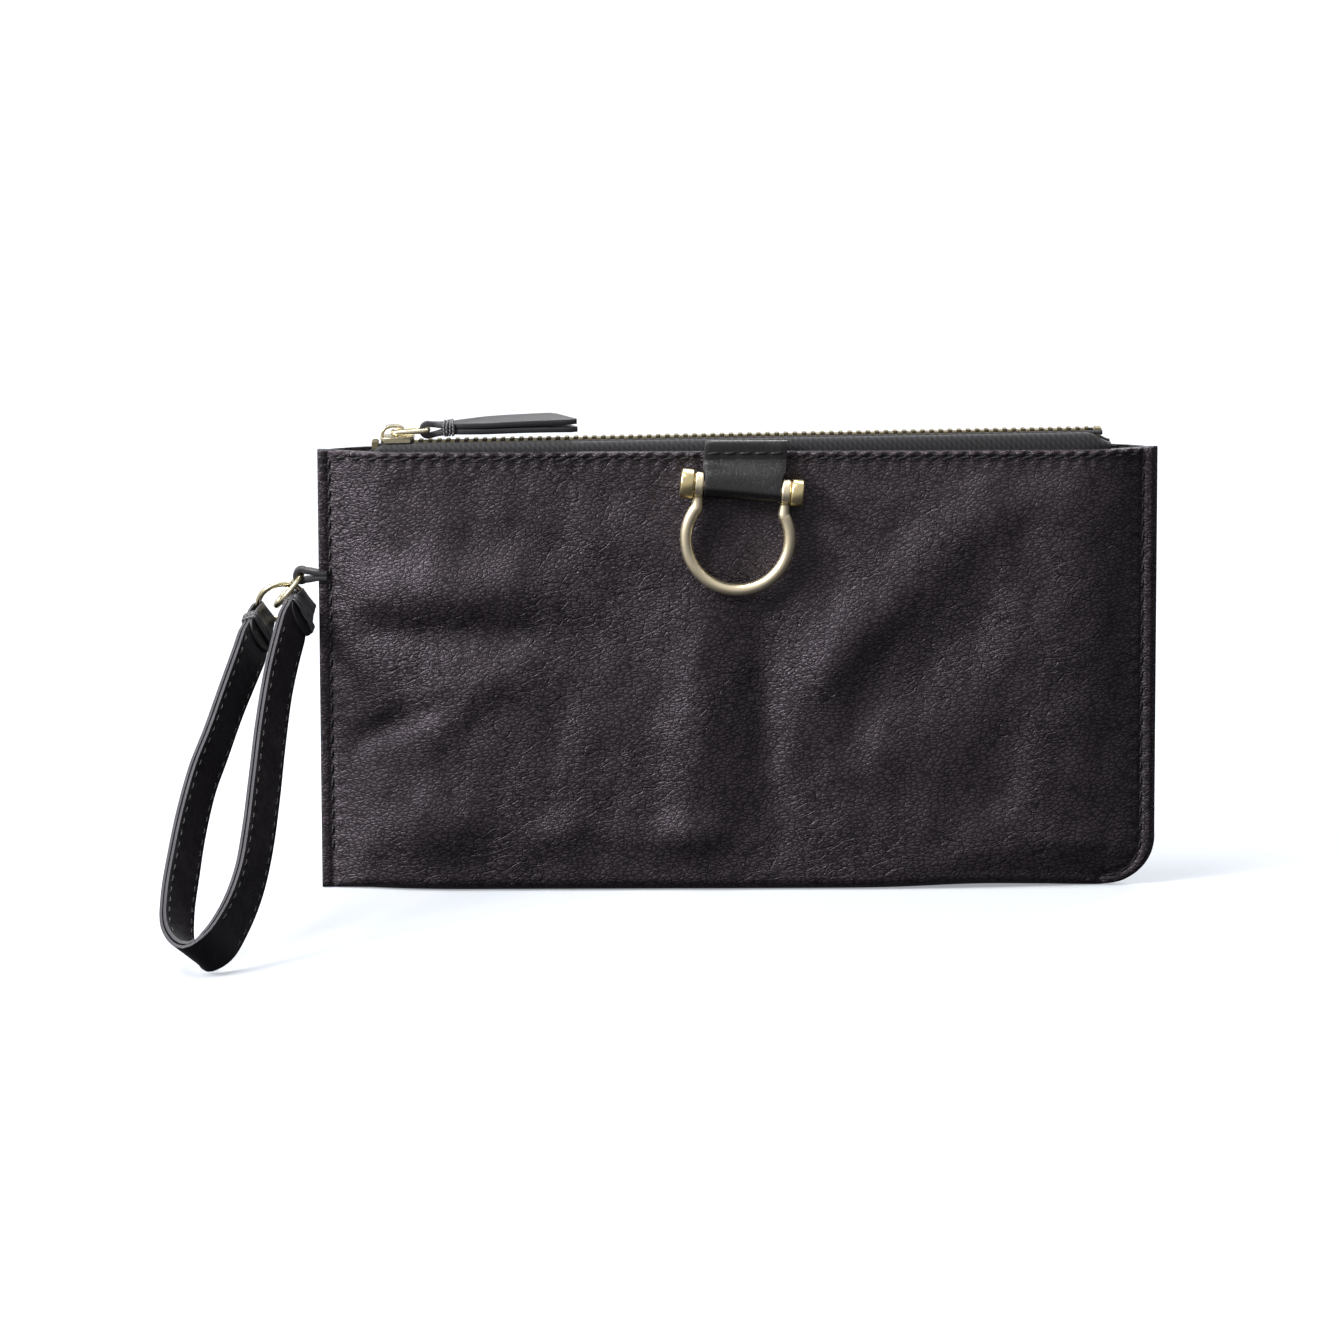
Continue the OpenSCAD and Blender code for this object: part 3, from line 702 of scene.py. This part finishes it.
def zip_tape(side, node):
    """Twill tape: flat under the teeth, turned down and sewn inside the mouth."""
    profile = smooth([(1.5, -0.1), (2.5, 0.0), (3.3, -0.15), (3.85, -0.8), (4.05, -2.0),
                      (4.1, -3.6), (4.1, -6.5), (4.1, -9.5)], 4)
    xs = np.linspace(-90.5, 89.5, 240)
    slope = tangents(np.column_stack([profile, 0 * profile[:, 0]]))
    normal = np.stack([-slope[:, 1], slope[:, 0]], -1)
    tuck = 2.6 * ramp(xs, 83.5, 90) + 2.6 * ramp(xs, -85.5, -90.5)
    wave = 0.07 * np.sin(xs / 3.1) + 0.05 * np.sin(xs / 1.7 + 1)
    grids = []
    for half_t in (0.2, -0.2):
        y = profile[None, :, 0] + half_t * normal[None, :, 0] + 0 * xs[:, None]
        z = profile[None, :, 1] + half_t * normal[None, :, 1] - tuck[:, None]
        z = z + (wave * 0.4)[:, None] * ramp(-profile[:, 1], 0, 2)[None]
        world_z = ZIP_Z + z + xs[:, None] * math.sin(ZIP_TILT)
        limit = wall_y(xs[:, None] + 0 * z, np.minimum(world_z, TOP), side) - 0.3 + (half_t - 0.2)
        over = ramp(world_z, TOP + 1.5, TOP - 1)
        y = y + (np.minimum(y, limit) - y) * over
        grids.append(np.stack([xs[:, None] + 0 * y, side * np.maximum(y, 0.3), world_z], -1))
    bead_x = np.linspace(-86.5, 87.5, 200)
    bead = np.stack([bead_x, side * 2.35 + 0 * bead_x, 0 * bead_x], -1)
    parts = [slab(grids[0], grids[1]), in_zip(tube(bead, 0.5, 10))]
    make("zip_twill_" + node.split("_")[-1], parts, "pouch", [TAPE, TAPE], [node])


def zip_teeth(side, shift, node):
    """Row of interleaved teeth, each with a waist, a head and a clamped foot."""
    half = [(2.5, 0.5), (1.5, 0.56), (1.1, 0.44), (0.55, 0.52), (0.12, 0.4), (-0.1, 0.2)]
    plan = [(-w, side * y) for y, w in half] + [(w, side * y) for y, w in half[::-1]]
    tooth = block(plan, -0.9, 0.9, 0.14)
    row = [in_zip(tooth, TEETH_X0 + shift + 0.575 + i * TOOTH_PITCH) for i in range(TEETH)]
    make("brass_" + node, row, "pouch", [ZIP_BRASS], [node])


def box_plan(x0, x1, y0, y1):
    return [(x0, y0), (x1, y0), (x1, y1), (x0, y1)]


def zip_stops():
    tops = [in_zip(block(box_plan(-88.6, -87.0, s * 0.9, s * 2.5), -0.95, 0.95, 0.25)) for s in (-1, 1)]
    make("brass_top_stops", tops, "pouch", [ZIP_BRASS], ["zip_top_stops"])
    low = in_zip(block(box_plan(85.4, 87.4, -2.3, 2.3), -0.95, 0.95, 0.3))
    make("brass_bottom_stop", [low], "pouch", [ZIP_BRASS], ["zip_bottom_stop"])


def zip_slider():
    """Slider: two shield-shaped plates, side flanges, the wedge between the rows and a bridge."""
    half = [(-4.1, 2.3), (-3.6, 3.1), (-2.4, 3.35), (0.5, 3.2), (3.0, 2.85), (3.9, 2.3), (4.1, 1.6)]
    plan = [(x, -y) for x, y in half] + [(x, y) for x, y in half[::-1]]
    parts = [block(plan, s * 1.2 if s > 0 else -1.95, 1.95 if s > 0 else -1.2, 0.2, 3) for s in (1, -1)]
    for side in (-1, 1):
        flange = [(-3.3, side * 2.75), (3.2, side * 2.7), (3.2, side * 3.15), (-3.3, side * 3.3)]
        parts += [block(flange, 0.6, 1.4, 0.15), block(flange, -1.4, -0.6, 0.15)]
    parts.append(block(box_plan(-3.9, -2.9, -0.45, 0.45), -1.3, 1.3, 0.15))
    arch = smooth([(-3.7, 0, 1.7), (-3.5, 0, 2.9), (-2.6, 0, 3.95), (-1.0, 0, 4.3), (0.6, 0, 4.1),
                   (1.5, 0, 3.2), (1.75, 0, 1.7)], 6)
    parts.append(band(arch, (0, 1, 0), 1.15, 1.15, 0.75, 0.3))
    make("slider_body", [in_zip(p, SLIDER_X) for p in parts], "slider",
         [SLIDER_BRASS, SLIDER_BRASS], ["zip_slider"])


def in_link(part):
    near = moved(part, turn=turn_up(LINK_LIFT))
    return in_zip(near, SLIDER_X + EYE_X, EYE_Z)


def rounded_loop(x0, x1, half, bend, steps=7):
    """Rounded rectangle in the XY plane, as a closed path."""
    path = []
    for cx, cy, a0 in ((x1, 1, 0), (x0, 1, 90), (x0, -1, 180), (x1, -1, 270)):
        mx = cx - bend if cx == x1 else cx + bend
        for a in np.radians(np.linspace(a0, a0 + 90, steps)):
            path.append((mx + bend * math.cos(a), cy * (half - bend) + bend * math.sin(a), 0))
    return np.array(path)


def pull_pieces():
    loop = rounded_loop(0, LINK_L, LINK_HALF, LINK_BEND)
    make("pull_wire_link", [in_link(tube(loop, LINK_R, 18, True))], "pull_link",
         [SLIDER_BRASS], ["zip_pull_link"])
    over = [(PULL_LENGTH, 0, 1.0), (28, 0, 0.92), (18, 0, 0.82), (9, 0, 0.74), (5.2, 0, 0.7),
            (3, 0, 0.95)]
    fold = [(1.44 * math.cos(a), 0, 1.44 * math.sin(a)) for a in np.radians(np.arange(70, 291, 20))]
    path = smooth(over + fold + [(x, y, -z) for x, y, z in over[::-1]], 5)
    path[:, 2] -= PULL_DROOP * (np.clip(path[:, 0], 0, PULL_LENGTH) / PULL_LENGTH) ** 2
    x = path[:, 0]
    wide = np.interp(x, [-2, 2.0, 4.5, 8, 30], [0.95, 0.95, 2.3, 3.0, 3.2])
    near_side = wide - np.interp(x, [PULL_LENGTH - 1.2, PULL_LENGTH], [0, 0.6])
    far_side = wide - np.interp(x, [PULL_LENGTH - 5.6, PULL_LENGTH], [0, 5.5])
    strip = band(path, (0, 1, 0), near_side, far_side, PULL_LAYER, 0.28, cols=9)
    roll = PULL_ROLL * ramp(strip[0][:, 0], 5, 16)
    y, z = strip[0][:, 1].copy(), strip[0][:, 2].copy()
    strip[0][:, 1] = y * np.cos(roll) - z * np.sin(roll)
    strip[0][:, 2] = y * np.sin(roll) + z * np.cos(roll)
    out = turn_up(PULL_LIFT)
    place = lambda part: in_link(moved(moved(part, turn=out), (LINK_L, 0, 0)))
    make("pull_leather_tab", [place(strip)], "pull_tab", [PULL_LEATHER, TAB_EDGE],
         ["zip_pull_tab"])
    turns = []
    for k, px in enumerate((4.2, 4.8, 5.4, 6.0)):
        ring = rounded_loop(-1.55, 1.55, 2.55 + 0.2 * k, 0.9, 6)
        path = np.stack([px + 0.25 * np.sin(np.arange(len(ring)) / len(ring) * 2 * np.pi + k),
                         ring[:, 1], ring[:, 0]], -1)
        turns.append(place(tube(path, 0.3, 8, True, hint=(1, 0, 0))))
    make("pull_thread_wrap", turns, "pull_tab", [WRAP_THREAD], ["zip_pull_wrap"])


# ---------- shackle ----------

PIN = np.array([0.7, -9.8, 99.6])
SHACKLE_TILT = math.radians(5.3)
BOW_R, BOW_WIRE, BOW_DROP = 12.5, 1.5, 12.3
LEG_X, EYE_R, EYE_HALF = 10.5, 3.05, 1.07
HEAD_IN = 11.63


def in_shackle(part):
    return moved(part, PIN, turn_up(-SHACKLE_TILT))


def blended(name, parts, voxel, rounds, body, material, nodes):
    """Parts melted into one skin, then eased so that their joins become fillets."""
    piece = make(name, parts, body, [material], nodes)
    melt = piece.modifiers.new("melt", "REMESH")
    melt.mode = "VOXEL"
    melt.voxel_size = voxel * MM
    ease = piece.modifiers.new("ease", "SMOOTH")
    ease.iterations = rounds
    ease.factor = 0.6
    graph = bpy.context.evaluated_depsgraph_get()
    mesh = bpy.data.meshes.new_from_object(piece.evaluated_get(graph))
    piece.modifiers.clear()
    piece.data = mesh
    mesh.polygons.foreach_set("use_smooth", [True] * len(mesh.polygons))


def shackle_pieces():
    start = math.asin(LEG_X / BOW_R)
    angles = np.linspace(np.pi / 2 + start, np.pi / 2 + 2 * np.pi - start, 90)
    bow = [(BOW_R * math.cos(a), 0, BOW_R * math.sin(a) - BOW_DROP) for a in angles]
    bow = [(-LEG_X, 0, -0.8), (-LEG_X, 0, -2.6)] + bow + [(LEG_X, 0, -2.6), (LEG_X, 0, -0.8)]
    bow = smooth(bow, 2)
    radius = BOW_WIRE - 0.32 * ramp(bow[:, 2], -6.5, -2.5)
    parts = [tube(bow, radius, 24, hint=(0, 1, 0))]
    for side in (-1, 1):
        x = side * LEG_X
        eye = [(-EYE_HALF, 0.05), (-EYE_HALF, EYE_R - 0.3), (-EYE_HALF + 0.12, EYE_R - 0.08),
               (-EYE_HALF + 0.35, EYE_R), (EYE_HALF - 0.35, EYE_R), (EYE_HALF - 0.12, EYE_R - 0.08),
               (EYE_HALF, EYE_R - 0.3), (EYE_HALF, 0.05)]
        parts.append(lathe(eye, (x, 0, 0), (1, 0, 0), 64))
    blended("brass_bow", [in_shackle(p) for p in parts], 0.17, 3, "shackle",
            BOW_BRASS, ["shackle_bow"])
    head = [(0.02, 0.05), (0.02, 3.1), (0.1, 3.3), (0.3, 3.52), (0.55, 3.6), (2.9, 3.6), (3.2, 3.5),
            (3.36, 3.25), (3.4, 2.9), (3.4, 0.05)]
    shaft = [(-0.2, 0.02), (-0.2, 1.3), (2 * HEAD_IN, 1.3), (2 * HEAD_IN, 0.02)]
    parts = [lathe(head, (-HEAD_IN, 0, 0), (-1, 0, 0), 64), lathe(shaft, (-HEAD_IN, 0, 0), (1, 0, 0), 48)]
    make("brass_pin", [in_shackle(p) for p in parts], "shackle", [HEAD_BRASS],
         ["shackle_pin"], 50)
    cap = [(along * 3.1 / 3.4, max(radius - 0.25, 0.05)) for along, radius in head]
    make("brass_pin_cap", [in_shackle(lathe(cap, (HEAD_IN, 0, 0), (1, 0, 0), 64))], "shackle",
         [HEAD_BRASS], ["shackle_pin_cap"], 50)


def shackle_tab():
    """Leather loop over the mouth's edge and round the pin, both layers sewn near the top."""
    loop_r = 2.3
    around = [(-loop_r * math.cos(a), -loop_r * math.sin(a)) for a in np.radians(np.arange(0, 181, 20))]
    front = [(2.9, 10.6), (2.6, 9.9), (2.45, 8.4), (2.35, 6.9), (2.2, 6.4), (1.4, 5.2), (-0.9, 2.8)]
    back = [(2.6, 2.6), (3.1, 5.0), (3.3, 7.0), (3.45, 9.0), (3.5, 10.3)]
    profile = smooth(front + around + back, 4)
    profile = np.vstack([profile, smooth([(3.5, 10.3), (3.3, 10.75), (2.9, 10.6)], 3)[1:-1]])
    path = np.stack([0 * profile[:, 0], profile[:, 0], profile[:, 1]], -1)
    high = path[:, 2]
    half = 9.2 + 0.75 * ramp(high, 2.9, 4.3)
    strip = band(path, (1, 0, 0), half, half, 1.05, 0.25, True, cols=14)
    level = strip[0][:, 0] * math.tan(SHACKLE_TILT) * ramp(strip[0][:, 2], 2, 7)
    strip[0][:, 2] += level
    strip = in_shackle(strip)
    make("shackle_leather_tab", [strip], "pouch", [TAB_LEATHER, TAB_EDGE],
         ["shackle_tab"])
    stitches = []
    for x in STITCH_PITCH * np.arange(-2, 3):
        spot = (x, 1.86, 8.3 + x * math.tan(SHACKLE_TILT))
        stitches.append(in_shackle(stitch(spot, (1, 0, 0.15), (0, -1, 0), 2.7, 0.33)))
    make("shackle_tab_stitches", stitches, "pouch", [THREAD], ["stitching_shackle_tab"])


# ---------- side tab and rings ----------

SIDE_EYE = np.array([-106.0, 0, 77.2])
RING_WIRE_R = 0.7
SIDE_RING_R, SIDE_RING_DIP = 4.8, 50
STRAP_RING_R = 5.6
STRAP_RING_C = np.array([-111.0, 1, 70.5])
STRAP_RING_RISE, STRAP_RING_TURN = 17.5, 57.7


def wire_ring(radius):
    a = np.radians(np.arange(0, 360, 4))
    path = np.stack([radius * np.cos(a), radius * np.sin(a), 0 * a], -1)
    joint = 0.07 * bell(np.degrees(a) - 90, 5)
    return tube(path, RING_WIRE_R + joint, 20, True)


def ring_pieces():
    turn = Matrix.Rotation(math.radians(-SIDE_RING_DIP), 3, "Y")
    ring = moved(wire_ring(SIDE_RING_R), (-SIDE_RING_R, 0, 0))
    make("brass_side_ring", [moved(ring, SIDE_EYE, turn)], "side_ring", [RING_BRASS],
         ["side_ring"])
    turn = (Matrix.Rotation(math.radians(-STRAP_RING_RISE), 3, "Y")
            @ Matrix.Rotation(math.radians(-STRAP_RING_TURN), 3, "X"))
    make("brass_strap_ring", [moved(wire_ring(STRAP_RING_R), STRAP_RING_C, turn)], "strap",
         [RING_BRASS], ["strap_ring"])
    r = 1.45
    loop = [(r * math.cos(a), 0, r * math.sin(a)) for a in np.radians(np.arange(50, 311, 20))]
    path = smooth([(6.2, 0, 0.6), (4, 0, 0.6), (2.2, 0, 0.95)] + loop + [(2.2, 0, -0.95), (4, 0, -0.6),
                                                                         (6.2, 0, -0.6)], 4)
    x = path[:, 0]
    half = np.interp(x, [-2, 1.5, 6], [1.9, 2.2, 2.3])
    make("side_leather_tab", [moved(band(path, (0, 1, 0), half, half, 1.15, 0.2), SIDE_EYE)], "pouch",
         [TAB_LEATHER, TAB_EDGE], ["side_tab"])


# ---------- wrist strap ----------

# Middle line of the loop and the direction across it, from the left fold round to the right one.
STRAP = [
    ((-115.6, 1, 67.5), (.46, .50, -.73)), ((-116.4, -5, 65), (.50, .45, -.74)),
    ((-118.5, -15, 59.5), (.42, .45, -.78)), ((-122, -26, 51), (.36, .49, -.80)),
    ((-125, -37, 43), (.36, .49, -.79)), ((-127.8, -47, 36), (.40, .48, -.78)),
    ((-129.8, -58, 28), (.46, .48, -.75)), ((-131, -68.5, 20.5), (.52, .47, -.71)),
    ((-131.8, -80, 13.2), (.56, .48, -.68)), ((-131, -91, 7.8), (.58, .54, -.61)),
    ((-127, -98, 5.2), (.55, .58, -.60)), ((-121.8, -96, 7), (.48, .56, -.67)),
    ((-118.2, -88, 11.4), (.42, .50, -.76)), ((-115.3, -78, 18), (.44, .47, -.76)),
    ((-113.7, -67, 26), (.50, .49, -.71)), ((-112.7, -54, 35.5), (.52, .49, -.70)),
    ((-111.8, -40, 46), (.50, .50, -.71)), ((-110.5, -27, 56), (.45, .50, -.74)),
    ((-108.5, -14, 64.5), (.42, .48, -.77)), ((-106.9, -5, 69), (.42, .50, -.75)),
    ((-105.8, 2, 70.5), (.46, .50, -.73))]
STRAP_HALF, TIE_HALF, FOLD_W = 5.35, 4.4, 3.1
STRAP_T, LAYER_GAP = 0.85, 0.32
# The fold round the ring and the tongue under it, as (towards +X, up) from the wire's centre.
FOLD = [(-0.55, -7), (-0.62, -5), (-1.0, -3), (-1.4, -1), (-1.25, 0.7), (0, 1.4), (1.25, 0.7), (1.45, -1),
        (1.3, -3), (1.32, -5.5), (1.36, -8), (1.4, -10.5), (1.42, -12.6)]
SPLINE_STEPS = 6


def strap_frame():
    centre = smooth([c for c, _ in STRAP], SPLINE_STEPS)
    across = smooth([a for _, a in STRAP], SPLINE_STEPS)
    t = tangents(centre)
    w = square_to(across, t)
    return centre, w, np.cross(w, t)


def fold_axes(end):
    """Up along the leg, and sideways towards +X, at one end of the strap."""
    points = [np.array(c, float) for c, _ in STRAP]
    up = unit(points[0] - points[2]) if end == 0 else unit(points[-1] - points[-3])
    across = np.array(STRAP[end][1])
    side = np.cross(square_to(across, up[None])[0], up)
    return points[end], up, side * np.sign(side[0]), across


def fold_strip(end):
    """Points of the fold from the leg to the tongue's tip, with its half widths."""
    centre, up, side, _ = fold_axes(end)
    profile = smooth(FOLD, 4)
    path = centre + profile[:, :1] * side + profile[:, 1:] * up
    high = profile[:, 1]
    half = np.interp(high, [-7, -3.5, -0.5, 2], [TIE_HALF + 0.3, 3.9, FOLD_W, FOLD_W])
    index = np.arange(len(path)) / (len(path) - 1)
    tongue = index > 0.55
    half = np.where(tongue, np.interp(-high, [0, 4, 7.5, 10], [FOLD_W, 4.0, TIE_HALF, 4.9]), half)
    to_tip = np.clip((12.6 + high) / 3.4, 0, 1)
    half = np.where(tongue, half * np.sqrt(1 - (1 - to_tip) ** 2 * 0.985), half)
    return path, half


def strap_layer(shift, fold_end):
    """One layer of the strap, with the fold that it makes round the ring at one end."""
    centre, w, out = strap_frame()
    run = centre + shift * out
    near = np.linalg.norm(centre - centre[0], axis=1)
    far = np.linalg.norm(centre - centre[-1], axis=1)
    reach = np.minimum(near, far)
    half = np.interp(reach, [0, 6.5, 8.5, 14], [TIE_HALF, TIE_HALF, TIE_HALF, STRAP_HALF])
    keep = (near > (7.6 if fold_end == 0 else 4.5)) & (far > (7.6 if fold_end else 4.5))
    run, w, half = run[keep], w[keep], half[keep]
    fold, fold_half = fold_strip(fold_end)
    *_, across = fold_axes(fold_end)
    fold_w = square_to(across, tangents(fold))
    pairs = ((run, fold), (w, fold_w), (half, fold_half))
    path, w, half = (np.concatenate([b[::-1], a] if fold_end == 0 else [a, b]) for a, b in pairs)
    return band(path, w, half, half, STRAP_T, 0.18, cols=9)


def strap_wrap(end):
    """Turns of thread bound round the layers just under a fold."""
    centre, up, side, across = fold_axes(end)
    w = square_to(across, up[None])[0]
    draw = np.random.default_rng(20 + end)
    turns = []
    for k in range(5):
        ring = rounded_loop(-1.75, 1.75, TIE_HALF + 0.45, 0.7, 6)
        lean = draw.uniform(-0.5, 0.5)
        drop = -8.4 + 0.5 * k + lean * ring[:, 1] / TIE_HALF
        mid = centre + 0.45 * side
        path = mid + ring[:, :1] * side + ring[:, 1:2] * w + drop[:, None] * up
        turns.append(tube(path, 0.32, 8, True, hint=up))
    return turns


def strap_stitches():
    centre, w, out = strap_frame()
    length = np.concatenate([[0], np.cumsum(np.linalg.norm(np.diff(centre, axis=0), axis=1))])
    made = []
    for s in np.arange(16, length[-1] - 16, STITCH_PITCH):
        if abs(s - length[-1] / 2) < 7:
            continue
        at = lambda v: np.array([np.interp(s, length, v[:, k]) for k in range(3)])
        c, a, o = at(centre), unit(at(w)), unit(at(out))
        t = np.cross(o, a)
        for face in (-1, 1):
            for edge in (-1, 1):
                spot = c + edge * (STRAP_HALF - 1.25) * a + face * (STRAP_T + LAYER_GAP / 2) * o
                made.append(stitch(spot, t, face * o, 2.2, 0.18))
    return made


def strap_pieces():
    shift = (STRAP_T + LAYER_GAP) / 2
    make("strap_layer_outer", [strap_layer(shift, 0)], "strap",
         [STRAP_LEATHER, STRAP_EDGE], ["strap_outer"])
    make("strap_layer_inner", [strap_layer(-shift, -1)], "strap",
         [STRAP_LEATHER, STRAP_EDGE], ["strap_inner"])
    make("strap_tie_left", strap_wrap(0), "strap", [WRAP_THREAD], ["strap_wrap_left"])
    make("strap_tie_right", strap_wrap(-1), "strap", [WRAP_THREAD], ["strap_wrap_right"])
    make("strap_stitches", strap_stitches(), "strap", [THREAD], ["stitching_strap"])


# ---------- floor, light and camera ----------

def floor():
    mesh = bpy.data.meshes.new("floor")
    mesh.from_pydata([(-9, -4, 0), (9, -4, 0), (9, 14, 0), (-9, 14, 0)], [], [(0, 1, 2, 3)])
    s = Shader("floor_paper", Roughness=0.9)
    s.bsdf.inputs["Base Color"].default_value = (0.42, 0.435, 0.47, 1)
    s.bsdf.inputs["Specular IOR Level"].default_value = 0.0
    s.bsdf.inputs["Emission Color"].default_value = (0.9, 0.95, 1.0, 1)
    s.bsdf.inputs["Emission Strength"].default_value = 0.34
    mesh.materials.append(s.material)
    plane = added("floor", mesh)
    plane.visible_diffuse = False
    plane.visible_glossy = False


def sun(name, azimuth, elevation, strength, angle):
    """Soft distant light; azimuth 0 comes from the front and -90 from the left."""
    lamp = bpy.data.lights.new(name, "SUN")
    lamp.energy = strength
    lamp.angle = math.radians(angle)
    a, e = math.radians(azimuth), math.radians(elevation)
    towards = Vector((math.sin(a) * math.cos(e), -math.cos(a) * math.cos(e), math.sin(e)))
    added(name, lamp).rotation_euler = towards.to_track_quat("Z", "Y").to_euler()


def key_light():
    """Soft disk lamp at the upper left, near enough to leave the far side darker."""
    lamp = bpy.data.lights.new("key_light", "AREA")
    lamp.shape = "DISK"
    lamp.size = 0.4
    lamp.energy = 17.0
    made = added("key_light", lamp)
    made.location = (-0.8, -0.42, 0.62)
    made.rotation_euler = (made.location - CAMERA_TARGET).to_track_quat("Z", "Y").to_euler()


def lights():
    """White studio that is brighter above and to the left, with two suns and a key lamp."""
    world = bpy.data.worlds.new("studio")
    world.use_nodes = True
    tree = world.node_tree
    way = tree.nodes.new("ShaderNodeTexCoord").outputs["Generated"]
    parts = tree.nodes.new("ShaderNodeSeparateXYZ")
    tree.links.new(way, parts.inputs[0])
    lean = tree.nodes.new("ShaderNodeMath")
    lean.operation = "MULTIPLY_ADD"
    lean.inputs[1].default_value = -0.55
    tree.links.new(parts.outputs["X"], lean.inputs[0])
    tree.links.new(parts.outputs["Z"], lean.inputs[2])
    fade = tree.nodes.new("ShaderNodeValToRGB")
    stops = [(0.0, (0.10, 0.10, 0.11)), (0.3, (0.2, 0.2, 0.22)), (0.62, (1.0, 1.0, 1.0))]
    fade.color_ramp.elements.new(0.5)
    for mark, (spot, rgb) in zip(fade.color_ramp.elements, stops):
        mark.position = spot
        mark.color = (*rgb, 1)
    half = tree.nodes.new("ShaderNodeMapRange")
    half.inputs["From Min"].default_value = -1.0
    tree.links.new(lean.outputs[0], half.inputs["Value"])
    tree.links.new(half.outputs[0], fade.inputs[0])
    tree.links.new(fade.outputs[0], tree.nodes["Background"].inputs[0])
    tree.nodes["Background"].inputs[1].default_value = 0.62
    bpy.context.scene.world = world
    sun("top_light", -60, 68, 1.6, 18)
    sun("back_light", 165, 52, 2.6, 35)
    key_light()
    bpy.context.scene.view_settings.view_transform = "Standard"


CAMERA_TARGET = Vector((-17, -7, 54.9)) * MM
CAMERA_ELEVATION = math.radians(10.5)
CAMERA_DISTANCE = 1.8
CAMERA_ROLL = math.radians(0.2)
FRAME_WIDTH = 0.3236


def camera():
    lens = bpy.data.cameras.new("camera")
    lens.sensor_width = 36
    lens.lens = 36 * CAMERA_DISTANCE / FRAME_WIDTH
    lens.clip_start, lens.clip_end = 0.05, 60
    made = added("camera", lens)
    back = Vector((0, -math.cos(CAMERA_ELEVATION), math.sin(CAMERA_ELEVATION)))
    made.location = CAMERA_TARGET + CAMERA_DISTANCE * back
    level = back.to_track_quat("Z", "Y").to_matrix()
    made.rotation_euler = (level @ Matrix.Rotation(-CAMERA_ROLL, 3, "Z")).to_euler()
    bpy.context.scene.camera = made


camera()
floor()
lights()
pouch_piece()
inside_pieces()
pouch_stitching()
for tape_side, tape_node in ((-1, "zip_tape_front"), (1, "zip_tape_back")):
    zip_tape(tape_side, tape_node)
zip_teeth(-1, 0, "zip_teeth_front")
zip_teeth(1, TOOTH_PITCH / 2, "zip_teeth_back")
zip_stops()
zip_slider()
pull_pieces()
shackle_pieces()
shackle_tab()
ring_pieces()
strap_pieces()
